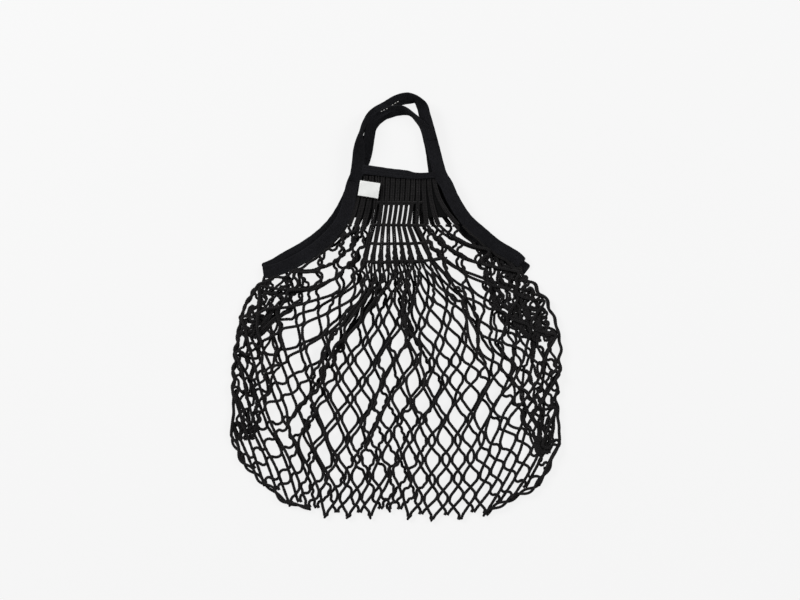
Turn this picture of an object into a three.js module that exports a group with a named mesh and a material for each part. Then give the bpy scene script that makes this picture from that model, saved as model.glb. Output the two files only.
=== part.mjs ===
// String shopping bag lying flat on its back panel.
// Millimetres. Origin on the surface under the middle of the bag, X to the right of the front panel,
// Y from the bottom seam towards the handles, Z up through back panel, inside and front panel.
import * as THREE from "three";
import { CatmullRomCurve3, ShapeUtils, Vector2, Vector3 } from "three";

// Driving sizes of the bag as it lies
const netWidth = 396; // widest stretch of the netting
const netHeight = 410; // hem's lower edge down to the bottom seam
const hemLength = 90; // straight top band between the two legs of the handle
const hemHeight = 10.4;
const yokeHeight = 55; // ribbed knitting below the hem
const armholeDrop = 112; // hem's lower edge down to the side corner of the bag
const leftReach = 160; // middle of the bag out to its left corner
const rightReach = 153;
const handleRise = 103; // hem's lower edge up to the top of the handle
const tapeWidth = 15.6;
const tapeThickness = 2.2;
const cordDiameter = 3;
const ribCount = 15;
const ribHeight = 0.9;
const labelLength = 24.4;
const labelHeight = 18.6;
const labelThickness = 1;
const labelTilt = -8.5; // degrees
const labelDrop = 13.5; // hem's lower edge down to the label's centre
const seamGap = 0.6; // sewn edges that lie side by side
const yokeEase = 0.4; // further gap from the yoke's straight facets to the tape's curve
const layerGap = 0.4; // layers that lie on each other
const mouthRise = 6; // front hem lifted off the back hem
const crownRise = 11; // front netting lifted off the back netting at its fullest
const barWidth = 4.6; // bundle of cords between two openings of the coarse net
const netColumns = 14; // half openings across the netting
const netRows = 10; // half openings down the netting
const yokeColumns = 8; // of the columns, those that hang from the yoke
const shoulderShare = 0.3; // of the columns beside the yoke, those that end on the side outline

// Shape and fineness of the cloth
const sideFullness = 0.7; // power: below 1 the front layer rises soon from the side seams
const bottomFullness = 5; // power: above 1 it stays full until near the bottom seam
const cornerMargin = 1.2; // of barWidth, from an opening's pointed corner to the crossing
const sideMargin = 0.62; // of barWidth, from an opening's side to the middle of the bar
const leastOpening = 0.3; // share of its diamond that the narrowest opening keeps
const hemRows = 3; // handle rows within which the hem meets the tape
const yokeRows = 3;
const hemColumns = 12;
const tapeSections = 3; // for each row of the tape's route
const halvings = 40; // when searching for a height along the tape

// Side outline of the netting: down as a share of netHeight, out as a share of half netWidth
const leftSide = [
  { down: 0.33, out: 0.88 },
  { down: 0.38, out: 0.935 },
  { down: 0.43, out: 0.96 },
  { down: 0.5, out: 0.982 },
  { down: 0.6, out: 0.997 },
  { down: 0.69, out: 0.991 },
  { down: 0.75, out: 1 },
  { down: 0.82, out: 0.95 },
];
const rightSide = [
  { down: 0.31, out: 0.845 },
  { down: 0.36, out: 0.92 },
  { down: 0.44, out: 0.984 },
  { down: 0.49, out: 1 },
  { down: 0.555, out: 0.993 },
  { down: 0.61, out: 0.975 },
  { down: 0.73, out: 0.987 },
  { down: 0.77, out: 0.985 },
  { down: 0.82, out: 0.935 },
];
// Bottom seam from the left side to the right side, across as a share of half netWidth
const bottomSeam = [
  { across: -0.87, down: 0.86 },
  { across: -0.78, down: 0.905 },
  { across: -0.64, down: 0.952 },
  { across: -0.44, down: 0.982 },
  { across: -0.15, down: 0.992 },
  { across: 0.1, down: 0.99 },
  { across: 0.36, down: 1 },
  { across: 0.53, down: 0.975 },
  { across: 0.65, down: 0.935 },
  { across: 0.78, down: 0.91 },
  { across: 0.87, down: 0.885 },
];

// Routes of the tapes. Armhole rows: out as a share of the way from the hem's end to the corner, drop as
// a share of armholeDrop. Handle rows: across as a share of half hemLength, up as a share of handleRise
// less half the tape. width is a share of tapeWidth, lift a share of mouthRise.
const frontLeftArm = [
  { out: 1, drop: 1, lift: 0 },
  { out: 0.9, drop: 0.985, lift: 0.05 },
  { out: 0.75, drop: 0.93, lift: 0.2 },
  { out: 0.585, drop: 0.84, lift: 0.4 },
  { out: 0.41, drop: 0.715, lift: 0.6 },
  { out: 0.255, drop: 0.56, lift: 0.8 },
  { out: 0.155, drop: 0.41, lift: 0.95 },
  { out: 0.105, drop: 0.25, lift: 1 },
  { out: 0.07, drop: 0.08, lift: 1 },
];
const frontHandle = [
  { across: -1.11, up: 0.05, width: 0.95, lift: 1 },
  { across: -1.08, up: 0.17, width: 0.92, lift: 0.9 },
  { across: -1.04, up: 0.33, width: 0.85, lift: 0.7 },
  { across: -0.98, up: 0.47, width: 0.55, lift: 0.5 },
  { across: -0.93, up: 0.58, width: 0.45, lift: 0.35 },
  { across: -0.83, up: 0.7, width: 0.7, lift: 0.25 },
  { across: -0.62, up: 0.83, width: 0.95, lift: 0.15 },
  { across: -0.3, up: 0.925, width: 1, lift: 0.1 },
  { across: 0.05, up: 0.985, width: 1, lift: 0.1 },
  { across: 0.36, up: 1, width: 0.95, lift: 0.15 },
  { across: 0.63, up: 0.94, width: 0.9, lift: 0.2 },
  { across: 0.78, up: 0.81, width: 1, lift: 0.3 },
  { across: 0.88, up: 0.6, width: 1, lift: 0.5 },
  { across: 0.97, up: 0.4, width: 1, lift: 0.75 },
  { across: 1.08, up: 0.2, width: 1, lift: 0.95 },
  { across: 1.18, up: 0.06, width: 1, lift: 1 },
];
const frontRightArm = [
  { out: 0.135, drop: 0.07, lift: 1 },
  { out: 0.2, drop: 0.21, lift: 1 },
  { out: 0.345, drop: 0.43, lift: 0.9 },
  { out: 0.525, drop: 0.59, lift: 0.7 },
  { out: 0.69, drop: 0.72, lift: 0.45 },
  { out: 0.83, drop: 0.8, lift: 0.25 },
  { out: 0.93, drop: 0.88, lift: 0.1 },
  { out: 1, drop: 0.955, lift: 0 },
];
const backLeftArm = [
  { out: 1, drop: 0.97, lift: 0 },
  { out: 0.9, drop: 0.93, lift: 0 },
  { out: 0.75, drop: 0.87, lift: 0 },
  { out: 0.56, drop: 0.76, lift: 0 },
  { out: 0.38, drop: 0.62, lift: 0 },
  { out: 0.25, drop: 0.47, lift: 0 },
  { out: 0.15, drop: 0.3, lift: 0 },
  { out: 0.07, drop: 0.1, lift: 0 },
];
const backHandle = [
  { across: -1.04, up: 0.04, width: 1, lift: 0 },
  { across: -0.92, up: 0.18, width: 1, lift: 0 },
  { across: -0.83, up: 0.34, width: 1, lift: 0 },
  { across: -0.76, up: 0.52, width: 0.95, lift: 0 },
  { across: -0.66, up: 0.68, width: 0.85, lift: 0 },
  { across: -0.4, up: 0.8, width: 0.9, lift: 0 },
  { across: 0, up: 0.86, width: 0.85, lift: 0 },
  { across: 0.35, up: 0.82, width: 0.45, lift: 0 },
  { across: 0.6, up: 0.72, width: 0.6, lift: 0 },
  { across: 0.84, up: 0.56, width: 0.9, lift: 0 },
  { across: 0.94, up: 0.38, width: 1, lift: 0 },
  { across: 0.99, up: 0.18, width: 1, lift: 0 },
  { across: 1.03, up: 0.04, width: 1, lift: 0 },
];
const backRightArm = [
  { out: 0.03, drop: 0.08, lift: 0 },
  { out: 0.12, drop: 0.24, lift: 0 },
  { out: 0.29, drop: 0.46, lift: 0 },
  { out: 0.48, drop: 0.63, lift: 0 },
  { out: 0.66, drop: 0.76, lift: 0 },
  { out: 0.82, drop: 0.85, lift: 0 },
  { out: 0.93, drop: 0.92, lift: 0 },
  { out: 1, drop: 0.97, lift: 0 },
];

// Heights of the layers above the surface
const backBase = 0;
const frontBase = backBase + cordDiameter + layerGap;

const cotton = new THREE.MeshStandardMaterial({ color: 0x1b1b1e, roughness: 0.95, metalness: 0 });
const tapeCotton = new THREE.MeshStandardMaterial({ color: 0x232427, roughness: 0.9, metalness: 0 });
const whiteCloth = new THREE.MeshStandardMaterial({ color: 0xe6e5df, roughness: 0.8, metalness: 0 });

const lerp = THREE.MathUtils.lerp;

// Closed tape route from the left corner, over the handle, to the right corner. A point's z is the
// height of the tape's underside. widths holds the tape's width at each of the points.
function tapeRoute(leftArm, handle, rightArm, base) {
  const points = [];
  const widths = [];
  const add = (x, y, row) => {
    points.push(new Vector3(x, y, base + row.lift * mouthRise));
    widths.push(tapeWidth * (row.width ?? 1));
  };
  const halfHem = hemLength / 2;
  for (const row of leftArm) add(-lerp(halfHem, leftReach, row.out), -row.drop * armholeDrop, row);
  for (const row of handle) add(row.across * halfHem, row.up * (handleRise - tapeWidth / 2), row);
  for (const row of rightArm) add(lerp(halfHem, rightReach, row.out), -row.drop * armholeDrop, row);
  const curve = new CatmullRomCurve3(points, false, "centripetal");
  return { curve, widths, steps: points.length - 1 };
}

// Tape at share t of its route: middle, unit direction to its inner side, and half its width
function tapeAt(route, t) {
  const middle = route.curve.getPoint(t);
  const ahead = route.curve.getTangent(t);
  const inward = new Vector2(ahead.y, -ahead.x).normalize();
  const place = t * route.steps;
  const row = Math.min(Math.floor(place), route.steps - 1);
  const half = lerp(route.widths[row], route.widths[row + 1], place - row) / 2;
  return { middle, inward, half };
}

// Point beside the tape's inner edge, one seam gap away
function besideTape(route, t) {
  const { middle, inward, half } = tapeAt(route, t);
  const reach = half + seamGap;
  return new Vector2(middle.x + inward.x * reach, middle.y + inward.y * reach);
}

// Share t between two others at which the tape's inner edge passes height y
function shareAtHeight(route, y, low, high) {
  const rising = besideTape(route, high).y > besideTape(route, low).y;
  for (let i = 0; i < halvings; i++) {
    const t = (low + high) / 2;
    if (besideTape(route, t).y < y === rising) low = t;
    else high = t;
  }
  return (low + high) / 2;
}

// Flat tape with rounded edges swept along its route
function tapeGeometry(route) {
  const sections = route.steps * tapeSections;
  const around = 6;
  const edge = tapeThickness / 2;
  const positions = [];
  for (let i = 0; i <= sections; i++) {
    const { middle, inward, half } = tapeAt(route, i / sections);
    const ring = [
      [-half, edge],
      [edge - half, 0],
      [half - edge, 0],
      [half, edge],
      [half - edge, tapeThickness],
      [edge - half, tapeThickness],
    ];
    for (const [side, height] of ring)
      positions.push(middle.x + inward.x * side, middle.y + inward.y * side, middle.z + height);
  }
  const index = [];
  for (let i = 0; i < sections; i++)
    for (let k = 0; k < around; k++) {
      const a = i * around + k;
      const b = i * around + ((k + 1) % around);
      index.push(a, a + around, b, b, a + around, b + around);
    }
  const last = sections * around;
  for (let k = 1; k < around - 1; k++) {
    index.push(0, k, k + 1);
    index.push(last, last + k + 1, last + k);
  }
  return indexed(positions, index);
}

function indexed(positions, index) {
  const geometry = new THREE.BufferGeometry();
  geometry.setAttribute("position", new THREE.Float32BufferAttribute(positions, 3));
  geometry.setIndex(index);
  geometry.computeVertexNormals();
  return geometry;
}

// Corner of a sheet at u and v. place gives its spot: x, y and the low and high side of the cloth.
function cornerAt(u, v, place) {
  return { name: u.toFixed(4) + " " + v.toFixed(4), spot: place(u, v) };
}

// Sheet of cloth from cells that share their corners by name. A cell is a contour and its holes, each a
// ring of corners.
function sheetGeometry(cells) {
  const numbers = new Map();
  const spots = [];
  const numberOf = ({ name, spot }) => {
    if (!numbers.has(name)) {
      numbers.set(name, spots.length);
      spots.push(spot);
    }
    return numbers.get(name);
  };
  const triangles = [];
  for (const { contour, holes } of cells) {
    const rings = [contour, ...holes].map((ring) => ring.map(numberOf));
    const flat = rings.map((ring) => ring.map((n) => new Vector2(spots[n].x, spots[n].y)));
    if (ShapeUtils.isClockWise(flat[0])) {
      flat[0].reverse();
      rings[0].reverse();
    }
    const all = rings.flat();
    for (const face of ShapeUtils.triangulateShape(flat[0], flat.slice(1)))
      triangles.push(face.map((n) => all[n]));
  }
  return thickened(spots, triangles);
}

// Closed solid between the low and the high side of a triangulated sheet
function thickened(spots, triangles) {
  const below = spots.length;
  const positions = [...spots.flatMap((s) => [s.x, s.y, s.high]), ...spots.flatMap((s) => [s.x, s.y, s.low])];
  const index = [];
  const open = new Map();
  for (const [a, b, c] of triangles) {
    index.push(a, b, c, below + a, below + c, below + b);
    for (const [from, to] of [[a, b], [b, c], [c, a]])
      if (!open.delete(to + "," + from)) open.set(from + "," + to, [from, to]);
  }
  for (const [from, to] of open.values()) {
    index.push(from, below + from, to);
    index.push(to, below + from, below + to);
  }
  return indexed(positions, index);
}

// Cells of a plain patch of columns and rows over u and v from 0 to 1
function patchCells(columns, rows, place) {
  const cells = [];
  const corners = [[0, 0], [1, 0], [1, 1], [0, 1]];
  for (let i = 0; i < columns; i++)
    for (let j = 0; j < rows; j++) {
      const contour = corners.map(([a, b]) => cornerAt((i + a) / columns, (j + b) / rows, place));
      cells.push({ contour, holes: [] });
    }
  return cells;
}

// One side of the bag: its tape, hem, yoke and netting share the edges worked out here
function bagSide(leftArm, handle, rightArm, base, rise) {
  const tape = tapeRoute(leftArm, handle, rightArm, base);
  // The hem joins the tape within the first and the last few rows of the handle
  const leftTop = (leftArm.length + hemRows) / tape.steps;
  const rightTop = (leftArm.length + handle.length - 1 - hemRows) / tape.steps;
  const leftAt = (y) => shareAtHeight(tape, y, 0, leftTop);
  const rightAt = (y) => shareAtHeight(tape, y, rightTop, 1);

  // Point u of the way from the left leg of the tape to the right one at height y
  const across = (u, y) => besideTape(tape, leftAt(y)).lerp(besideTape(tape, rightAt(y)), u);

  // Underside of the layer over the whole panel, v from the hem to the bottom seam
  const floorAt = (u, v) => {
    const swell = Math.max(Math.sin(Math.PI * u), 0) ** sideFullness;
    const fullness = lerp(mouthRise, crownRise, Math.sin(Math.PI * v));
    return base + rise * swell * fullness * (1 - v ** bottomFullness);
  };
  const yokeShare = yokeColumns / netColumns;
  const yokeStart = (1 - yokeShare) / 2;
  const hemFloor = base + rise * mouthRise;

  const hemPlace = (u, v) => {
    const { x, y } = across(u, v * hemHeight);
    return { x, y, low: hemFloor, high: hemFloor + tapeThickness };
  };

  // Ribs: each has a valley, and a crest on its two middle quarters
  const yokePlace = (u, v) => {
    const height = -seamGap - v * (yokeHeight - 2 * seamGap);
    const ease = yokeEase / across(0, height).distanceTo(across(1, height));
    const { x, y } = across(lerp(ease, 1 - ease, u), height);
    const quarter = Math.round(u * ribCount * 4) % 4;
    const crest = quarter === 1 || quarter === 2 ? ribHeight : 0;
    const low = lerp(hemFloor, floorAt(yokeStart + u * yokeShare, 0), v);
    return { x, y, low, high: low + cordDiameter - ribHeight + crest };
  };

  // Netting: a patch between its top edge, the two sides and the bottom seam. The top edge starts on the
  // shoulder, the stretch of side outline from the patch's corner up to the end of the tape.
  const onSide = (row, sign) => new Vector3((sign * row.out * netWidth) / 2, -row.down * netHeight, 0);
  const flank = (rows, sign, end) => {
    const spots = rows.map((row) => onSide(row, sign));
    const tapeEnd = besideTape(tape, end);
    const shoulder = new CatmullRomCurve3([spots[1], spots[0], new Vector3(tapeEnd.x, tapeEnd.y, 0)]);
    return { shoulder, side: new CatmullRomCurve3(spots.slice(1)) };
  };
  const west = flank(leftSide, -1, 0);
  const east = flank(rightSide, 1, 1);
  const leftShare = leftAt(-yokeHeight);
  const rightShare = rightAt(-yokeHeight);
  const wing = (from, shoulder, end, inner) => {
    if (from < shoulderShare) return shoulder.getPointAt(from / shoulderShare);
    return besideTape(tape, lerp(end, inner, (from - shoulderShare) / (1 - shoulderShare)));
  };
  const topEdge = (u) => {
    if (u < yokeStart) return wing(u / yokeStart, west.shoulder, 0, leftShare);
    if (u > 1 - yokeStart) return wing((1 - u) / yokeStart, east.shoulder, 1, rightShare);
    return across((u - yokeStart) / yokeShare, -yokeHeight);
  };
  const seam = bottomSeam.map((row) => new Vector3((row.across * netWidth) / 2, -row.down * netHeight, 0));
  const bottom = new CatmullRomCurve3([west.side.getPoint(1), ...seam, east.side.getPoint(1)]);
  const netPlace = (u, v) => {
    const top = topEdge(u);
    const foot = bottom.getPointAt(u);
    const [onWest, onEast] = [west.side.getPointAt(v), east.side.getPointAt(v)];
    const blend = (key) => {
      const upper = lerp(topEdge(0)[key], topEdge(1)[key], u);
      const lower = lerp(bottom.getPoint(0)[key], bottom.getPoint(1)[key], u);
      return lerp(top[key], foot[key], v) + lerp(onWest[key], onEast[key], u) - lerp(upper, lower, v);
    };
    const low = floorAt(u, v);
    return { x: blend("x"), y: blend("y"), low, high: low + cordDiameter };
  };
  const pieces = {
    net: sheetGeometry(netCells(netPlace)),
    yoke: sheetGeometry(patchCells(ribCount * 4, yokeRows, yokePlace)),
    hem: sheetGeometry(patchCells(hemColumns, 1, hemPlace)),
    tape: tapeGeometry(tape),
  };
  return { pieces, across, hemFloor };
}

// Cells of the netting: diamond openings in staggered rows, and half diamonds without one at the edges
function netCells(place) {
  const cells = [];
  const crossing = ([c, r]) => cornerAt(c / netColumns, r / netRows, place);
  for (let c = 0; c <= netColumns; c++)
    for (let r = 0; r <= netRows; r++) {
      if ((c + r) % 2 === 0) continue;
      const inside = c > 0 && c < netColumns && r > 0 && r < netRows;
      if (inside) cells.push(openDiamond(c, r, crossing));
      else cells.push({ contour: halfDiamond(c, r).map(crossing), holes: [] });
    }
  return cells;
}

// Diamond around column c and row r with an opening that leaves half a bar all round
function openDiamond(c, r, crossing) {
  const steps = [[-1, 0], [-0.5, -0.5], [0, -1], [0.5, -0.5], [1, 0], [0.5, 0.5], [0, 1], [-0.5, 0.5]];
  const contour = steps.map(([a, b]) => crossing([c + a, r + b]));
  const middle = crossing([c, r]).spot;
  const hole = contour.map(({ spot: rim }, i) => {
    const margin = barWidth * (i % 2 === 0 ? cornerMargin : sideMargin);
    const share = Math.max(1 - margin / Math.hypot(rim.x - middle.x, rim.y - middle.y), leastOpening);
    const toRim = (key) => lerp(middle[key], rim[key], share);
    const spot = { x: toRim("x"), y: toRim("y"), low: toRim("low"), high: toRim("high") };
    return { name: ["opening", c, r, i].join(" "), spot };
  });
  return { contour, holes: [hole] };
}

// Corners of the half diamond whose middle lies on an edge, with that edge in quarter steps
function halfDiamond(c, r) {
  const quarters = [-1, -0.75, -0.5, -0.25, 0, 0.25, 0.5, 0.75, 1];
  if (r === 0) return [...quarters.map((q) => [c + q, 0]), [c + 0.5, 0.5], [c, 1], [c - 0.5, 0.5]];
  if (r === netRows)
    return [...quarters.map((q) => [c - q, r]), [c - 0.5, r - 0.5], [c, r - 1], [c + 0.5, r - 0.5]];
  const inward = c === 0 ? 1 : -1;
  const flank = [[c + inward / 2, r + 0.5], [c + inward, r], [c + inward / 2, r - 0.5]];
  return [...quarters.map((q) => [c, r + q]), ...flank];
}

// Sewn label on the left end of the front yoke, a plain piece of cloth
function labelMesh(front) {
  const corner = front.across(0, -labelDrop);
  const outline = new THREE.Shape();
  const [x, y] = [labelLength / 2, labelHeight / 2];
  outline.moveTo(-x, -y);
  outline.lineTo(x, -y);
  outline.lineTo(x, y);
  outline.lineTo(-x, y);
  outline.closePath();
  const geometry = new THREE.ExtrudeGeometry(outline, { depth: labelThickness, bevelEnabled: false });
  const mesh = new THREE.Mesh(geometry, whiteCloth);
  mesh.name = "label";
  mesh.position.set(corner.x + labelLength / 2, corner.y, front.hemFloor + cordDiameter + layerGap);
  mesh.rotation.z = THREE.MathUtils.degToRad(labelTilt);
  return mesh;
}

const bag = new THREE.Group();
const front = bagSide(frontLeftArm, frontHandle, frontRightArm, frontBase, 1);
const back = bagSide(backLeftArm, backHandle, backRightArm, backBase, 0);
for (const [name, side] of Object.entries({ front, back })) {
  for (const [piece, geometry] of Object.entries(side.pieces)) {
    const sewn = piece === "hem" || piece === "tape";
    const mesh = new THREE.Mesh(geometry, sewn ? tapeCotton : cotton);
    mesh.name = name + "_" + piece;
    bag.add(mesh);
  }
}
bag.add(labelMesh(front));

// The bag's box stands centred over the origin
const middle = new THREE.Box3().setFromObject(bag).getCenter(new Vector3());
bag.position.set(-middle.x, -middle.y, 0);

export default bag;
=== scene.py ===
# %% [markdown]
# # String shopping bag
# A knitted cotton net bag lies flat on a pale table with its front panel up. The real bag is two panels of
# diamond netting, joined along the sides and the bottom, that hang from dense ribbed yokes. A hem closes each
# yoke, and one knitted tape for each panel binds the armhole and goes up as the handle.
#
# Everything here is computed as numpy arrays in millimetres and put into meshes in metres. The construction
# model gives the places, and this script gives the cords, the knit and the finish.

import bpy
import numpy as np
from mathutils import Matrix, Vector


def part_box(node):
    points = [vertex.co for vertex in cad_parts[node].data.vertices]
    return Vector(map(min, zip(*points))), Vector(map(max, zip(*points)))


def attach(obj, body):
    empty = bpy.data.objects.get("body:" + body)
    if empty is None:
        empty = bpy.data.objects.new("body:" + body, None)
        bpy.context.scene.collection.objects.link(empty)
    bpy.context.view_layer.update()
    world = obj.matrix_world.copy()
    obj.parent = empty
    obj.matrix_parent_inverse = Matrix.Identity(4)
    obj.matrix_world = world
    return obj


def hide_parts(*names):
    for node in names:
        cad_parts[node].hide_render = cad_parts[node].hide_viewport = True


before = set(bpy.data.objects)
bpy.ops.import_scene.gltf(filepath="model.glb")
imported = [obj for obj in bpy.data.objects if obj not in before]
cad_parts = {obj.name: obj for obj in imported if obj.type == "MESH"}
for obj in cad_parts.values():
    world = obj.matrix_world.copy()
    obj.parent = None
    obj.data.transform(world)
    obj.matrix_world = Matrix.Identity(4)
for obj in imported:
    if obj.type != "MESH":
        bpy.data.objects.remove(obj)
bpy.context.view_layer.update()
MM = 0.001
print("construction nodes:", sorted(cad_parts))

# %% [markdown]
# ## Places and sizes
# The hem's lower edge is the line that the whole bag is measured from, and the net's box gives the width.
# A few sizes of cord and tape are set here once.

# %% Sizes from the construction model
def node_box(name):
    """Lowest and highest corner of a construction node, in millimetres."""
    return np.array([list(corner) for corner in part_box(name)]) / MM


net_box = node_box("front_net")
hem_box = node_box("front_hem")
tape_box = node_box("front_tape")
MIDDLE_X = net_box[:, 0].mean()
HEM_Y = hem_box[0, 1]
NET_HALF = (net_box[1, 0] - net_box[0, 0]) / 2
NET_DEEP = HEM_Y - net_box[0, 1]
HANDLE_RISE = tape_box[1, 1] - HEM_Y
HEM_FLOOR = hem_box[0, 2]
TAPE_THICK = hem_box[1, 2] - hem_box[0, 2]
# half the hem's length, and how far the yoke and the armholes go down below the hem
HEM_HALF = 45.0
YOKE_DROP = 55.0
ARMHOLE_DROP = 112.0
# how far the armholes' outer ends lie from the middle, to the left and to the right
LEFT_REACH = 160.0
RIGHT_REACH = 153.0
TAPE_WIDE = 15.6
# drawn thicker than the 3 mm that the photo gives, so that the net covers as much as it does there
CORD = 3.6
# height of the front panel's underside, and how much higher it lies at the mouth
FRONT_BASE = 3.4
MOUTH_RISE = 6.0
print(f"net {2 * NET_HALF:.0f} mm wide, {NET_DEEP:.0f} mm deep, handles rise {HANDLE_RISE:.0f} mm")

# %% [markdown]
# ## Routes of the two tapes
# A tape is followed by its middle line. Its rows are shares of the bag's own sizes: out and down along an
# armhole, across and up along a handle. The last column is the tape's seen width, as a share, because a
# tape that twists shows its edge.

# %% Tables of the tape routes
# columns: out, drop, lift, width
FRONT_LEFT_ARM = [
    (1.00, 1.000, 0.00, 1), (0.90, 0.985, 0.05, 1), (0.75, 0.930, 0.20, 1),
    (0.585, 0.840, 0.40, 1), (0.41, 0.715, 0.60, 1), (0.255, 0.560, 0.80, 1),
    (0.155, 0.410, 0.95, 1), (0.105, 0.250, 1.00, 1), (0.07, 0.080, 1.00, 1),
]
FRONT_RIGHT_ARM = [
    (0.135, 0.070, 1.00, 1), (0.20, 0.210, 1.00, 1), (0.345, 0.430, 0.90, 1),
    (0.525, 0.590, 0.70, 1), (0.69, 0.720, 0.45, 1), (0.83, 0.800, 0.25, 1),
    (0.91, 0.848, 0.12, 1), (0.97, 0.905, 0.05, 1),
]
BACK_LEFT_ARM = [
    (1.00, 0.97, 0, 1), (0.90, 0.93, 0, 1), (0.76, 0.845, 0, 1), (0.57, 0.735, 0, 1),
    (0.39, 0.60, 0, 1), (0.255, 0.455, 0, 1), (0.155, 0.29, 0, 1), (0.07, 0.10, 0, 1),
]
BACK_RIGHT_ARM = [
    (0.03, 0.08, 0, 1), (0.12, 0.24, 0, 1), (0.29, 0.46, 0, 1), (0.48, 0.63, 0, 1),
    (0.66, 0.76, 0, 1), (0.82, 0.85, 0, 1), (0.94, 0.92, 0, 1), (1.03, 0.985, 0, 1),
]
# columns: across, up, lift, width
FRONT_HANDLE = [
    (-1.08, 0.03, 1.00, 0.95), (-1.035, 0.17, 0.90, 0.92), (-1.00, 0.36, 0.70, 0.84),
    (-0.965, 0.49, 0.50, 0.54), (-0.938, 0.567, 0.35, 0.24), (-0.862, 0.655, 0.30, 0.40),
    (-0.704, 0.749, 0.20, 0.85), (-0.512, 0.832, 0.15, 1.00), (-0.264, 0.896, 0.10, 1.00),
    (0.062, 0.985, 0.10, 0.88), (0.329, 1.008, 0.15, 0.81), (0.516, 0.990, 0.20, 0.48),
    (0.676, 0.905, 0.30, 0.82), (0.742, 0.794, 0.35, 0.88), (0.855, 0.592, 0.50, 0.95),
    (0.975, 0.375, 0.75, 1.00), (1.09, 0.160, 0.95, 1.00), (1.18, 0.03, 1.00, 1.00),
]
BACK_HANDLE = [
    (-1.04, 0.04, 0, 1.00), (-0.92, 0.18, 0, 1.00), (-0.81, 0.34, 0, 0.95),
    (-0.735, 0.52, 0, 0.85), (-0.66, 0.66, 0, 0.80), (-0.42, 0.79, 0, 0.88),
    (-0.10, 0.85, 0, 0.85), (0.18, 0.855, 0, 0.60), (0.38, 0.815, 0, 0.24),
    (0.56, 0.738, 0, 0.34), (0.73, 0.645, 0, 0.60), (0.84, 0.54, 0, 0.90),
    (0.93, 0.38, 0, 1.00), (0.99, 0.18, 0, 1.00), (1.03, 0.04, 0, 1.00),
]


def tape_rows(left_arm, handle, right_arm, base):
    """Middle line of a tape as rows of x, y, z of the underside, and width: each is start + share * reach."""
    # columns: table, start and reach across, reach lengthways
    parts = [
        (left_arm, -HEM_HALF, HEM_HALF - LEFT_REACH, -ARMHOLE_DROP),
        (handle, 0, HEM_HALF, HANDLE_RISE - TAPE_WIDE / 2),
        (right_arm, HEM_HALF, RIGHT_REACH - HEM_HALF, -ARMHOLE_DROP),
    ]
    return np.concatenate([
        [MIDDLE_X + start, HEM_Y, base, 0] + np.array(table) * [across, along, MOUTH_RISE, TAPE_WIDE]
        for table, start, across, along in parts])


front_tape_rows = tape_rows(FRONT_LEFT_ARM, FRONT_HANDLE, FRONT_RIGHT_ARM, FRONT_BASE)
back_tape_rows = tape_rows(BACK_LEFT_ARM, BACK_HANDLE, BACK_RIGHT_ARM, 0.0)
print("tape rows:", len(front_tape_rows), "front,", len(back_tape_rows), "back")

# %% [markdown]
# ## Smooth lines through a few rows
# A Catmull-Rom curve passes through each row. The centripetal kind spaces its knots by the square root of
# the distance, so it makes no loops where rows lie close together.

# %% Curve helpers
def smooth_line(rows, t):
    """Centripetal Catmull-Rom curve through rows, at shares t from 0 to 1.

    Between rows b and c the curve is a cubic with slopes taken from the neighbours a and d: each slope is
    the sum of the two chord slopes next to it less the slope of the long chord over both.
    """
    rows = np.asarray(rows, float)
    padded = np.vstack([2 * rows[0] - rows[1], rows, 2 * rows[-1] - rows[-2]])
    place = np.clip(np.asarray(t, float), 0, 1) * (len(rows) - 1)
    k = np.minimum(place.astype(int), len(rows) - 2)
    w = (place - k)[:, None]
    a, b, c, d = (padded[k + shift] for shift in range(4))
    g0, g1, g2 = (
        np.linalg.norm((q - p)[:, :2], axis=1)[:, None] ** 0.5 + 1e-9 for p, q in ((a, b), (b, c), (c, d)))
    slope_b = ((b - a) / g0 - (c - a) / (g0 + g1) + (c - b) / g1) * g1
    slope_c = ((c - b) / g1 - (d - b) / (g1 + g2) + (d - c) / g2) * g1
    cubic = 2 * b - 2 * c + slope_b + slope_c
    square = -3 * b + 3 * c - 2 * slope_b - slope_c
    return b + slope_b * w + square * w**2 + cubic * w**3


def run_along(paths):
    """Length from the start of a path to each of its points, for one path or for many."""
    steps = np.linalg.norm(np.diff(paths, axis=-2), axis=-1)
    return np.concatenate([np.zeros_like(steps[..., :1]), steps.cumsum(axis=-1)], axis=-1)


def at_share(line, share):
    """Points at shares of the length of a line given by many rows."""
    run = run_along(line[:, :2])
    return np.stack([np.interp(share * run[-1], run, column) for column in line.T], axis=-1)


def even_line(rows, count):
    """A line given by many rows, with its points spread evenly along its length."""
    return at_share(rows, np.linspace(0, 1, count))


def side_of(line):
    """Unit vectors across a line in the plane, to the right of its travel."""
    ahead = np.gradient(line[:, :2], axis=0)
    ahead /= np.linalg.norm(ahead, axis=1)[:, None]
    return np.column_stack([ahead[:, 1], -ahead[:, 0]])


def inner_edge(rows, count=400):
    """Inner edge of a tape: its middle line moved half a width to the inside."""
    line = smooth_line(rows, np.linspace(0, 1, count))
    return line[:, :2] + side_of(line) * line[:, 3:4] / 2


# %% [markdown]
# ## The net's outline
# Below the yoke each panel is a patch with four edges: the yoke's lower edge, the armhole binding with the
# side seam on either side, and the bottom seam. The cords of the netting all start in the yoke's ribs, so
# the patch fans out from it.

# %% Tables of the net's outline
# columns: share of the net's half width, share of its depth below the hem
LEFT_SIDE = [(-0.88, 0.33), (-0.935, 0.38), (-0.96, 0.43), (-0.982, 0.50), (-0.997, 0.60), (-0.991, 0.69),
             (-1.0, 0.75), (-0.95, 0.82)]
RIGHT_SIDE = [(0.845, 0.31), (0.92, 0.36), (0.984, 0.44), (1.0, 0.49), (0.993, 0.555), (0.975, 0.61),
              (0.987, 0.73), (0.985, 0.77), (0.935, 0.82)]


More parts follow.
